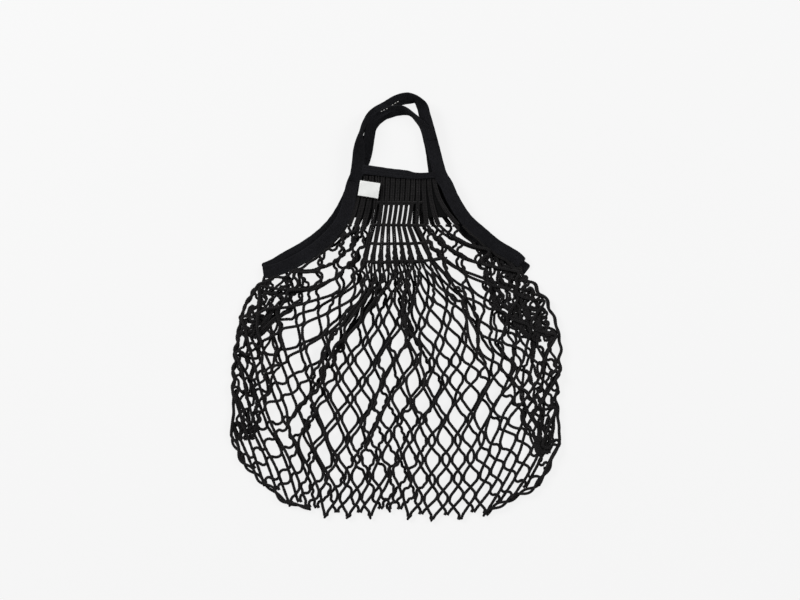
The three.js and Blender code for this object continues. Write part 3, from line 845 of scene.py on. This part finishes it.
def band_rings(line, wide, thick, turn, ribs=5, edge_wave=0.0, seed=1):
    """Rings of a band along a line of x, y, z: section (a, b) goes to a (cos t across + sin t up) + b (...).

    turn is the angle t by which the band is turned onto its edge at each step. edge_wave gives the slight
    in and out of a knitted edge.
    """
    across, up = path_frames(line[None])
    across, up = across[0], up[0]
    section = band_section(TAPE_WIDE, thick, ribs)
    scale = wide / TAPE_WIDE
    run = run_along(line)
    wave = 1 + edge_wave * soft_noise(run, 0 * run, 9, seed) + 0.012 * np.cos(run * 2 * np.pi / 2.6)
    a = section[None, :, 0] * (scale * wave)[:, None]
    b = np.broadcast_to(section[None, :, 1], a.shape)
    cos_t, sin_t = np.cos(turn)[:, None, None], np.sin(turn)[:, None, None]
    wide_way = cos_t * across[:, None] + sin_t * up[:, None]
    thick_way = -sin_t * across[:, None] + cos_t * up[:, None]
    return (line[:, None] + a[..., None] * wide_way + b[..., None] * thick_way)[None]


# %% [markdown]
# ## The two tapes
# The front tape lies over the back one, and both lie slack: at the top left of the handle the front tape
# stands on its edge, and at the right it turns part way onto its edge.

# %% Make the tapes
TAPE_LONG = 700


def tape_middle(rows, seed, step=1.2):
    """Middle line of a tape's thickness, and the angle by which it is turned onto its edge, every step mm."""
    line = even_line(smooth_line(rows, np.linspace(0, 1, 1600)), int(TAPE_LONG / step))
    turn = np.arccos(np.clip(line[:, 3] / TAPE_WIDE, 0.12, 1))
    turn = np.where(turn < 0.2, turn * 0.4, turn)
    half_high = np.abs(np.sin(turn)) * TAPE_WIDE / 2 + np.cos(turn) * TAPE_THICK / 2
    middle = np.column_stack([line[:, :2], line[:, 2] + half_high])
    soft = soft_noise(line[:, 0], line[:, 1], 60, seed)
    middle[:, 2] += 0.25 * np.maximum(0.2, 1 + soft)
    return middle, turn


def tape_band(name, rows, seed, step=1.2):
    """Band along a tape's rows, turned onto its edge where the rows say it is seen narrow.

    Over the last 5 mm at each end, its width is (1 - (1 - d / 5)^3.5)^(1 / 3.5), which rounds the corners.
    """
    line, turn = tape_middle(rows, seed, step)
    from_end = np.minimum(np.arange(len(line)) + 0.4, np.arange(len(line))[::-1] + 0.4) * step / 5
    rounded = (1 - np.clip(1 - from_end, 0, 1) ** 3.5) ** (1 / 3.5)
    return swept(name, band_rings(line, TAPE_WIDE * rounded, TAPE_THICK, turn, 9, 0.015, seed))


front_band = tape_band("front_binding", front_tape_rows, 3)
back_band = tape_band("back_binding", back_tape_rows, 4)


def thread_dashes(rows, seed, first, last, count, aside):
    """A row of short stitches on a tape: small tubes 1.6 mm long that dip into the knit at both ends."""
    line, turn = tape_middle(rows, seed, 0.4)
    across = (line[:, 0] - MIDDLE_X) / HEM_HALF
    lower = line[:, 1] < HEM_Y + 0.6 * HANDLE_RISE
    at = [np.argmin(np.abs(across - share) + 9 * lower) for share in np.linspace(first, last, count)]
    side = side_of(line)[at]
    ahead = np.column_stack([-side[:, 1], side[:, 0]])
    t = np.linspace(-0.8, 0.8, 6)[None, :, None]
    flat = line[at, None, :2] + side[:, None] * aside * np.cos(turn[at])[:, None, None] + ahead[:, None] * t
    rise = line[at, 2] + (TAPE_THICK / 2 + 0.05) / np.cos(turn[at]) - aside * np.sin(turn[at])
    rise = np.maximum(rise, BACK_TAPE_TOP)[:, None, None] + 0.35 - 0.9 * t**2
    return np.concatenate([flat, np.broadcast_to(rise, flat.shape[:2] + (1,))], axis=-1)


# the stitches go through both tapes, so none lies lower than the back tape where it crosses
BACK_TAPE_TOP = 7.75
dashes = thread_dashes(front_tape_rows, 3, -0.42, 0.02, 7, 1.5)
handle_thread = swept("handle_stitches", cord_rings(dashes, 0.5, 6))
print("tape meshes:", len(front_band.data.polygons), len(back_band.data.polygons), "faces")

# %% [markdown]
# ## The yokes
# Each yoke is knitted in ribs of two wales. The upper part is closed. Below it the ribs part into a ladder:
# they hang straight, and short cross bars tie each rib to the next. The wales are cords that lie side by
# side, over a thin ground that closes the knit above the ladder.

# %% Wales of the yoke
CLOSED_LOW = HEM_Y - 31.0


def rib_paths(chains, top_left, top_right, top_y, z_top, z_low, shift=0.0):
    """Paths of a yoke's thirty wales, from under the hem to the first knots of the netting.

    A rib is at x = top (1 - t^2) + low t^2, and its two wales are 1.2 mm either side of it in the closed
    part, 1.05 mm in the ladder and 1.4 mm beside the tapes. shift moves the ribs' upper ends.
    """
    wale = np.arange(COLUMNS)
    side = np.where(wale % 2 == 0, -1.0, 1.0)
    low = np.repeat(0.5 * (chains[0::2, 0] + chains[1::2, 0]), 2, axis=0)
    top_x = top_left + (top_right - top_left) * (wale // 2 + 0.5) / (COLUMNS / 2) + shift
    t = np.linspace(0, 1, 12)
    y = top_y + (low[0, 1] - top_y) * t
    z = z_top + (z_low - z_top) * t
    x = top_x[:, None] * (1 - t**2) + low[:, :1] * t**2
    closed = 1 / (1 + np.exp(-(y - CLOSED_LOW) / 1.2))
    x = x + side[:, None] * (1.05 + 0.18 * closed + 0.35 * (1 - closed) * LOOSE)
    return np.stack([x, np.broadcast_to(y, x.shape), np.broadcast_to(z, x.shape)], -1)


def rib_cords(name, paths):
    """Wales of a yoke: full in the closed part, thin in the ladder, thickest low down beside the tapes."""
    fine = finer(paths, 0.9)
    closed = 1 / (1 + np.exp(-(fine[..., 1] - CLOSED_LOW) / 1.2))
    radius = knitted_radius(fine, 1.12 + 0.24 * closed + 0.5 * (1 - closed) * LOOSE, 2.0)
    return swept(name, cord_rings(fine, radius, 9, 0.85))


# the front's outer ribs start under the tapes, and the back's lie between the front ones at both sides
to_tape = np.interp(np.arange(COLUMNS), [0, 1, 7, 22, 28, 29], [-3.2, -3.2, 0.0, 0.0, 1.0, 1.0])
front_rib_paths = rib_paths(
    front_chains, MIDDLE_X - 44, MIDDLE_X + 47, HEM_Y + 3.0, HEM_FLOOR - 0.2, front_z[:, 0].mean(), to_tape)
half_rib = np.interp(np.arange(COLUMNS), [0, 7, 9, 20, 22, 29], [3.2, 3.0, 0.0, 0.0, -3.0, -3.2])
back_rib_paths = rib_paths(
    back_chains, MIDDLE_X - 43.5, MIDDLE_X + 46.5, HEM_Y + 3.0, 1.5, back_z[:, 0].mean(), half_rib)
front_yoke = rib_cords("front_ribs", front_rib_paths)
back_yoke = rib_cords("back_ribs", back_rib_paths)
print("yoke wales:", front_rib_paths.shape)


# %% [markdown]
# ## Cross bars of the ladder
# A bar is one tight loop from rib to rib. Bars lie at the end of the closed part and on each ladder row.

# %% Make the cross bars
TIED_RIBS = slice(3, 12)


def cross_bars(name, rib_ends, chains, heights):
    """Short thick cords between the middle ribs, at the foot of the closed part and at rows 0, 1 and 2."""
    knot_rows = np.arange(LADDER + 1) * LEG_PARTS
    rows = [rib_ends] + [np.column_stack([chains[:, k], heights[:, k]]) for k in knot_rows]
    t = np.linspace(-0.25, 1.25, 7)[None, :, None]
    bars = [points[1:-1:2][TIED_RIBS, None] * (1 - t) + points[2::2][TIED_RIBS, None] * t for points in rows]
    paths = np.concatenate(bars)
    paths[..., 2] += 0.35 * np.sin(np.pi * np.clip(t[..., 0], 0, 1))
    return swept(name, cord_rings(paths, 1.8 * np.array([0.5, 0.85, 1, 1, 1, 0.85, 0.5]), 8, 0.8))


def at_height(paths, y):
    """Points of the wales at one height."""
    k = np.abs(paths[0, :, 1] - y).argmin()
    return paths[:, k]


front_bars = cross_bars("front_cross_bars", at_height(front_rib_paths, CLOSED_LOW), front_chains, front_z)
back_bars = cross_bars("back_cross_bars", at_height(back_rib_paths, CLOSED_LOW), back_chains, back_z)


# %% [markdown]
# ## Ground of the yokes
# Between the wales of a closed rib knit the loops cross from wale to wale, so no light comes through. A thin
# sheet under the wales stands for these loops. It goes further down beside the tapes, where the knit stays
# closed for longer than in the ladder.

# %% Thin ground sheets
def ground_rings(paths, drop, thick):
    """Flat ring, up the sheet's upper side and down its lower side, for each wale.

    A wale's point is at the share s (top - end) / (top - low) of its path, for s from 0 to 1. The end is
    at the foot of the closed part, and 15 mm lower beside the tapes.
    """
    top, low = paths[0, [0, -1], 1]
    full = (top - CLOSED_LOW + 0.5 + 15 * LOOSE) / (top - low)
    at = np.linspace(0, 1, 30)[None, :] * full * (paths.shape[1] - 1)
    row, wale = at.astype(int), np.arange(COLUMNS)[:, None]
    over = (at - row)[..., None]
    part = paths[wale, row] * (1 - over) + paths[wale, row + 1] * over
    upper = part - [0, 0, drop]
    return np.concatenate([upper[:, ::-1], upper - [0, 0, thick]], axis=1)[None]


front_ground = swept("front_ground", ground_rings(front_rib_paths, 0.5, 0.6))
back_ground = swept("back_ground", ground_rings(back_rib_paths, 0.3, 0.6))

# %% [markdown]
# ## The hems
# A hem is a short band across the mouth, sewn over the ends of the ribs.

# %% Make the hems
def hem_band(name, rows, height, seed):
    """Band at one height through a few rows of x, y and width."""
    line = even_line(smooth_line(np.array(rows, float), np.linspace(0, 1, 400)), 90)
    x, y, width = line.T
    middle = np.column_stack([x, y, np.full(len(x), height)])
    return swept(name, band_rings(middle, width, TAPE_THICK, np.zeros(len(x)), 3, 0.02, seed))


# columns: x, y, width, in millimetres
front_rows = [
    (-43, 164.6, 11.6), (-33, 163.6, 11.4), (-5, 159.9, 10.6), (11, 158.4, 10.2), (22, 156.8, 7.8),
    (34, 156.9, 7.2), (46, 157.8, 7.4),
]
front_hem = hem_band("front_hem_band", front_rows, HEM_FLOOR + 1.6, 8)
back_rows = [(-39, 159, 10), (-15, 158.2, 10), (12, 157.2, 9.5), (38, 157.0, 7)]
back_hem = hem_band("back_hem_band", back_rows, TAPE_THICK / 2 + 0.4, 9)

# %% [markdown]
# ## The sewn label
# A small plain woven label is sewn over the ribs near the left handle. It is a thin sheet, bowed a little
# over the ribs.

# %% Make the label
def label_sheet(corners, z, thick, count=28):
    """Rings of a thin sheet between four corners, bowed by 0.35 (1 - (2 s - 1)^2) + 0.12 sin(7 s + 5 t)."""
    a, b, c, d = (np.array(corner, float) for corner in corners)
    s = np.linspace(0, 1, count)[:, None, None]
    t = np.linspace(0, 1, count)[None, :, None]
    flat = (1 - s) * ((1 - t) * a + t * b) + s * ((1 - t) * d + t * c)
    bow = z + 0.35 * (1 - (2 * s - 1) ** 2) + 0.12 * np.sin(7 * s + 5 * t)
    upper = np.concatenate([flat, bow], axis=-1)
    lower = upper[:, ::-1] - [0, 0, thick]
    return np.concatenate([upper, lower], axis=1)[None]


LABEL_CORNERS = [(-43.5, 151.2), (-19.4, 147.6), (-22.2, 129.5), (-46.4, 133.2)]
label_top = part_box("label")[1][2] / MM
label = swept("sewn_label", label_sheet(LABEL_CORNERS, label_top - 0.4, 0.5))
print("label top at", round(label_top, 1), "mm")

# %% [markdown]
# ## Cotton finishes
# The bag is black cotton. Cotton is never quite black: its fibres are pale at the surface. The light that
# each stitch catches on its crown is a painted highlight, a paler colour on the crowns, and small pale specks
# are painted glints. One group makes the knit's stitches from the piece's own lengths, and another makes
# fibres, painted glints and patches. Both put out masks that the materials mix.

# %% Node group helpers
def new_group(name, inputs, outputs):
    """Empty shader group with float inputs (name, value) and float outputs."""
    group = bpy.data.node_groups.new(name, "ShaderNodeTree")
    for label_text, value in inputs:
        socket = group.interface.new_socket(label_text, in_out="INPUT", socket_type="NodeSocketFloat")
        socket.default_value = value
    for label_text in outputs:
        group.interface.new_socket(label_text, in_out="OUTPUT", socket_type="NodeSocketFloat")
    ends = group.nodes.new("NodeGroupInput"), group.nodes.new("NodeGroupOutput")
    return group, ends[0], ends[1]


def math_node(tree, operation, first, second=None, third=None):
    """Math node's output; each input is a socket or a number."""
    node = tree.nodes.new("ShaderNodeMath")
    node.operation = operation
    for slot_number, given in enumerate((first, second, third)):
        if given is None:
            continue
        if isinstance(given, (int, float)):
            node.inputs[slot_number].default_value = given
        else:
            tree.links.new(given, node.inputs[slot_number])
    return node.outputs[0]


def noise_node(tree, vector, scale, detail=3.0, roughness=0.6):
    """Noise texture's value over a vector."""
    node = tree.nodes.new("ShaderNodeTexNoise")
    node.inputs["Scale"].default_value = scale
    node.inputs["Detail"].default_value = detail
    node.inputs["Roughness"].default_value = roughness
    tree.links.new(vector, node.inputs["Vector"])
    return node.outputs["Fac"]


# %% [markdown]
# ## Stitches
# A knit shows columns of slanted loops. They could be painted or modelled, but a cord has hundreds of them.
# Two sines over the piece's lengths make them at their real size, on any cord or band.

# %% Group for the stitches of a knit
def stitch_group():
    """Height of a stocking stitch on lengths u, v: a slanted loop times the wale's round section.

    With h = |frac(u / wide) - 0.5|, the loop is |sin(pi (v / tall + lean h))| and the section sin(2 pi h).
    The groove is (1 - the lesser of the two)^3.
    """
    sizes = [("Wide", 3.0), ("Tall", 2.3), ("Lean", 1.0)]
    group, into, out = new_group("knit stitches", sizes, ["Height", "Groove"])
    place = group.nodes.new("ShaderNodeUVMap")
    place.uv_map = "lengths"
    split = group.nodes.new("ShaderNodeSeparateXYZ")
    group.links.new(place.outputs[0], split.inputs[0])
    column = math_node(group, "DIVIDE", split.outputs[0], into.outputs["Wide"])
    row = math_node(group, "DIVIDE", split.outputs[1], into.outputs["Tall"])
    half = math_node(group, "ABSOLUTE", math_node(group, "SUBTRACT", math_node(group, "FRACT", column), 0.5))
    lean = math_node(group, "MULTIPLY_ADD", half, into.outputs["Lean"], row)
    loop = math_node(group, "ABSOLUTE", math_node(group, "SINE", math_node(group, "MULTIPLY", lean, np.pi)))
    wale = math_node(group, "SINE", math_node(group, "MULTIPLY", half, np.pi * 2))
    height = math_node(group, "MULTIPLY", loop, wale)
    groove = math_node(group, "SUBTRACT", 1.0, math_node(group, "MINIMUM", loop, wale))
    group.links.new(height, out.inputs["Height"])
    group.links.new(math_node(group, "POWER", groove, 3.0), out.inputs["Groove"])
    return group


# %% [markdown]
# ## Fibres and painted glints
# Cotton yarn is hairy, and dark cotton shows it. A fine noise, cut to a narrow band, gives short pale lines,
# and its rare peaks give pale specks, which are painted glints of light on the knit. A coarse noise makes
# some patches more worn than others.

# %% Group for fibres and painted glints
def fibre_and_glint_group():
    """Masks of pale fibres, thin lines where a fine noise is near a half, of rare specks that are painted
    glints, and of patches.
    """
    group, into, out = new_group("cotton fibres", [("Fine", 1.0)], ["Fibre", "PaintedGlints", "Patch"])
    place = group.nodes.new("ShaderNodeTexCoord")
    coords = place.outputs["Object"]
    first = noise_node(group, coords, 900, 3)
    near = math_node(group, "ABSOLUTE", math_node(group, "SUBTRACT", first, 0.5))
    line = math_node(group, "SUBTRACT", 1.0, math_node(group, "MULTIPLY", near, 14.0))
    fibre = math_node(group, "MULTIPLY", math_node(group, "MAXIMUM", line, 0.0), into.outputs["Fine"])
    # painted glints: rare pale specks that stand for small highlights on the knit
    specks = noise_node(group, coords, 2400, 1)
    painted_glints = math_node(group, "MAXIMUM", math_node(group, "MULTIPLY_ADD", specks, 9.0, -6.1), 0.0)
    patch = noise_node(group, coords, 38, 3)
    group.links.new(fibre, out.inputs["Fibre"])
    group.links.new(math_node(group, "MINIMUM", painted_glints, 1.0), out.inputs["PaintedGlints"])
    group.links.new(patch, out.inputs["Patch"])
    return group


STITCHES = stitch_group()
FIBRES_AND_GLINTS = fibre_and_glint_group()


# %% [markdown]
# ## Materials from the groups
# The cord, the bands, the ribs and the ground are the same black cotton, with stitches of different size.
# The sheen is set on the shader itself, because it is the same all over.

# %% Make the materials
def cloth_material(name):
    """New material, with its node tree and its shader."""
    material = bpy.data.materials.new(name)
    material.use_nodes = True
    return material, material.node_tree, material.node_tree.nodes["Principled BSDF"]


def coloured(tree, shader, factor, first, second):
    """Base colour as a mix of two colours by a factor."""
    mix = tree.nodes.new("ShaderNodeMix")
    mix.data_type = "RGBA"
    mix.inputs["A"].default_value = (*first, 1)
    mix.inputs["B"].default_value = (*second, 1)
    tree.links.new(factor, mix.inputs["Factor"])
    tree.links.new(mix.outputs["Result"], shader.inputs["Base Color"])


def embossed(tree, shader, height, strength, distance):
    """Bump of the surface by a height."""
    bump = tree.nodes.new("ShaderNodeBump")
    bump.inputs["Strength"].default_value = strength
    bump.inputs["Distance"].default_value = distance
    tree.links.new(height, bump.inputs["Height"])
    tree.links.new(bump.outputs[0], shader.inputs["Normal"])


def cotton(name, pale, wide, tall, lean, depth, sheen=0.01):
    """Knitted cotton: pale on the fibres, with a painted highlight on the stitch crowns, painted shade in the
    grooves and painted glints, bumped by the stitch height.
    """
    material, tree, shader = cloth_material(name)
    stitches = tree.nodes.new("ShaderNodeGroup")
    stitches.node_tree = STITCHES
    for socket, value in (("Wide", wide), ("Tall", tall), ("Lean", lean)):
        stitches.inputs[socket].default_value = value
    fibres = tree.nodes.new("ShaderNodeGroup")
    fibres.node_tree = FIBRES_AND_GLINTS
    # painted highlight: the stitch crowns are painted paler than the grooves, which stay dark as painted
    # shade; pale fibres and painted glints are added, and worn patches scale the whole mask
    painted_highlight_and_fibres = math_node(tree, "MULTIPLY", stitches.outputs["Height"], 0.45)
    painted_highlight_and_fibres = math_node(tree, "MULTIPLY_ADD", fibres.outputs["Fibre"], 0.35, painted_highlight_and_fibres)
    painted_highlight_and_fibres = math_node(tree, "MULTIPLY_ADD", fibres.outputs["PaintedGlints"], 0.9, painted_highlight_and_fibres)
    worn = math_node(tree, "MULTIPLY_ADD", fibres.outputs["Patch"], 1.2, 0.4)
    painted_highlight_and_fibres = math_node(tree, "MULTIPLY", painted_highlight_and_fibres, worn)
    painted_highlight_and_fibres = math_node(tree, "MINIMUM", math_node(tree, "MAXIMUM", painted_highlight_and_fibres, 0.0), 1.0)
    coloured(tree, shader, painted_highlight_and_fibres, BLACK, pale)
    rough = math_node(tree, "MULTIPLY_ADD", stitches.outputs["Groove"], 0.12, 0.82)
    tree.links.new(rough, shader.inputs["Roughness"])
    height = math_node(tree, "MULTIPLY_ADD", fibres.outputs["Fibre"], 0.18, stitches.outputs["Height"])
    embossed(tree, shader, height, 0.8, depth)
    shader.inputs["Specular IOR Level"].default_value = 0.07
    shader.inputs["Sheen Weight"].default_value = sheen
    shader.inputs["Sheen Roughness"].default_value = 0.45
    return material


BLACK = (0.0008, 0.0008, 0.0010)
# pale colour of the fibres, of the painted highlight on the stitch crowns and of the painted glints
PALE_FIBRE_AND_HIGHLIGHT = (0.028, 0.026, 0.0265)
cord_cotton = cotton("netting cotton", PALE_FIBRE_AND_HIGHLIGHT, 4.6, 2.3, 0.9, 0.0006)
tape_cotton = cotton("tape cotton", (0.020, 0.020, 0.024), 1.56, 1.5, 0.9, 0.0005)
rib_cotton = cotton("rib cotton", PALE_FIBRE_AND_HIGHLIGHT, 4.9, 2.0, 0.9, 0.0006)
ground_cotton = cotton("ground cotton", (0.004, 0.004, 0.004), 3.0, 2.2, 0.6, 0.0004, 0.02)
WEAVE_PITCH = 0.0007


def label_cloth(name, grey, white):
    """Pale plain weave: a checker of two sine waves, a little dust, and a fine bump."""
    material, tree, shader = cloth_material(name)
    place = tree.nodes.new("ShaderNodeTexCoord")
    split = tree.nodes.new("ShaderNodeSeparateXYZ")
    tree.links.new(place.outputs["Object"], split.inputs[0])
    waves = [math_node(tree, "MULTIPLY", split.outputs[k], 2 * np.pi / WEAVE_PITCH) for k in (0, 1)]
    across, along = (math_node(tree, "SINE", wave) for wave in waves)
    weave = math_node(tree, "MULTIPLY_ADD", math_node(tree, "MULTIPLY", across, along), 0.5, 0.5)
    dust = noise_node(tree, place.outputs["Object"], 160, 4)
    shade = math_node(tree, "MULTIPLY_ADD", dust, 0.5, math_node(tree, "MULTIPLY", weave, 0.5))
    coloured(tree, shader, shade, grey, white)
    tree.links.new(math_node(tree, "MULTIPLY_ADD", weave, 0.1, 0.75), shader.inputs["Roughness"])
    embossed(tree, shader, weave, 1.0, 0.0001)
    return material


label_finish = label_cloth("label cloth", (0.53, 0.54, 0.53), (0.64, 0.645, 0.635))
thread_finish = label_cloth("thread", (0.22, 0.22, 0.21), (0.40, 0.39, 0.37))

# %% [markdown]
# ## What each piece stands for
# Each piece rides on the bag's one body and replaces the construction node that it stands for.

# %% Hand the pieces over
HANDED = [
    (front_netting, "front_net", "cord_cotton", cord_cotton),
    (back_netting, "back_net", "cord_cotton", cord_cotton),
    (front_band, "front_tape", "tape_cotton", tape_cotton),
    (back_band, "back_tape", "tape_cotton", tape_cotton),
    (front_yoke, "front_yoke", "cord_cotton", rib_cotton),
    (back_yoke, "back_yoke", "cord_cotton", rib_cotton),
    (left_fold, "back_net", "cord_cotton", cord_cotton),
    (right_fold, "back_net", "cord_cotton", cord_cotton),
    (left_seam, "front_net", "cord_cotton", cord_cotton),
    (right_seam, "front_net", "cord_cotton", cord_cotton),
    (knots, "front_net", "cord_cotton", cord_cotton),
    (left_low_fold, "back_net", "cord_cotton", cord_cotton),
    (right_low_fold, "back_net", "cord_cotton", cord_cotton),
    (front_bars, "front_yoke", "cord_cotton", rib_cotton),
    (back_bars, "back_yoke", "cord_cotton", rib_cotton),
    (front_ground, "front_yoke", "cord_cotton", ground_cotton),
    (back_ground, "back_yoke", "cord_cotton", ground_cotton),
    (handle_thread, "front_tape", "label_cloth", thread_finish),
    (front_hem, "front_hem", "tape_cotton", tape_cotton),
    (back_hem, "back_hem", "tape_cotton", tape_cotton),
    (label, "label", "label_cloth", label_finish),
]
for piece, node, material_slot, material in HANDED:
    piece.data.materials.append(material)
    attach(piece, "root")
    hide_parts(node)

# %% [markdown]
# ## Sheets of cloth
# The tapes, hems, grounds and the label are flat cloth. The nettings and the yokes are sheets of cords, so
# their flat area is what their cords cover.

def covered(piece):
    """Half the surface of a closed piece, in square metres: the cloth's own area."""
    mesh = piece.data
    areas = np.empty(len(mesh.polygons))
    mesh.polygons.foreach_get("area", areas)
    return areas.sum() / 2


for piece in (item[0] for item in HANDED):
    print(piece.name, "covers", round(covered(piece) * 1e4, 1), "square centimetres")

# %% [markdown]
# ## Camera
# The photograph looks straight down on a bag that lies on a white table. A long lens keeps the sides of the
# bag as square as there, and its distance makes one pixel 1.2 mm wide on the table.

# %% Camera
# the photograph's scale in millimetres a pixel, and the pixel that the object's middle falls on
PIXEL = 1.2
MIDDLE_PIXEL = (396.7, 307)
camera_data = bpy.data.cameras.new("camera")
camera_data.lens = 85
camera_data.sensor_width = 36
camera = bpy.data.objects.new("camera", camera_data)
bpy.context.scene.collection.objects.link(camera)
distance = 800 * PIXEL * MM * camera_data.lens / camera_data.sensor_width
beside, above = (400 - MIDDLE_PIXEL[0]) * PIXEL * MM, (MIDDLE_PIXEL[1] - 300) * PIXEL * MM
camera.location = (beside, above, distance)
camera_data.clip_end = 20
bpy.context.scene.camera = camera
print("camera is", round(distance, 3), "m above the table")

# %% [markdown]
# ## Table
# The photograph's ground is an even, nearly white sheet. A matt floor that glows a little stays as even,
# and the bag still darkens it where it lies on it.

# %% Floor
floor_mesh = bpy.data.meshes.new("table_top")
floor_corners = [(x, y, -0.0002) for x, y in ((-3, -3), (3, -3), (3, 3), (-3, 3))]
floor_mesh.from_pydata(floor_corners, [], [(0, 1, 2, 3)])
floor = bpy.data.objects.new("table_top", floor_mesh)
bpy.context.scene.collection.objects.link(floor)
floor_paint = bpy.data.materials.new("pale table")
floor_paint.use_nodes = True
floor_shader = floor_paint.node_tree.nodes["Principled BSDF"]
floor_shader.inputs["Base Color"].default_value = (0.05, 0.05, 0.05, 1)
floor_shader.inputs["Roughness"].default_value = 0.9
floor_shader.inputs["Emission Color"].default_value = (1, 1, 1, 1)
floor_shader.inputs["Emission Strength"].default_value = 0.835
floor_mesh.materials.append(floor_paint)

# %% [markdown]
# ## Lamps
# Two large square lamps, the left one brighter, stand for the studio's soft boxes. They lie low enough to
# show the ribs of the tapes, and a white surrounding fills the shadows.

# %% Soft light
def soft_lamp(name, place, size, power):
    """Square area lamp that faces the middle of the bag."""
    data = bpy.data.lights.new(name, "AREA")
    data.shape = "SQUARE"
    data.size = size
    data.energy = power
    lamp = bpy.data.objects.new(name, data)
    lamp.location = place
    lamp.rotation_euler = (-Vector(place)).to_track_quat("-Z", "Y").to_euler()
    bpy.context.scene.collection.objects.link(lamp)
    return lamp


soft_lamp("left lamp", (-2.2, 1.6, 1.7), 1.2, 120)
soft_lamp("right lamp", (2.2, 0.9, 1.9), 1.4, 62)
world = bpy.data.worlds.new("studio")
bpy.context.scene.world = world
world.use_nodes = True
world.node_tree.nodes["Background"].inputs[0].default_value = (1, 1, 1, 1)
world.node_tree.nodes["Background"].inputs[1].default_value = 0.34
bpy.context.scene.view_settings.view_transform = "Standard"

# %% [markdown]
# ## Finish
# The view layer is brought up to date.

# %% Finish
bpy.context.view_layer.update()
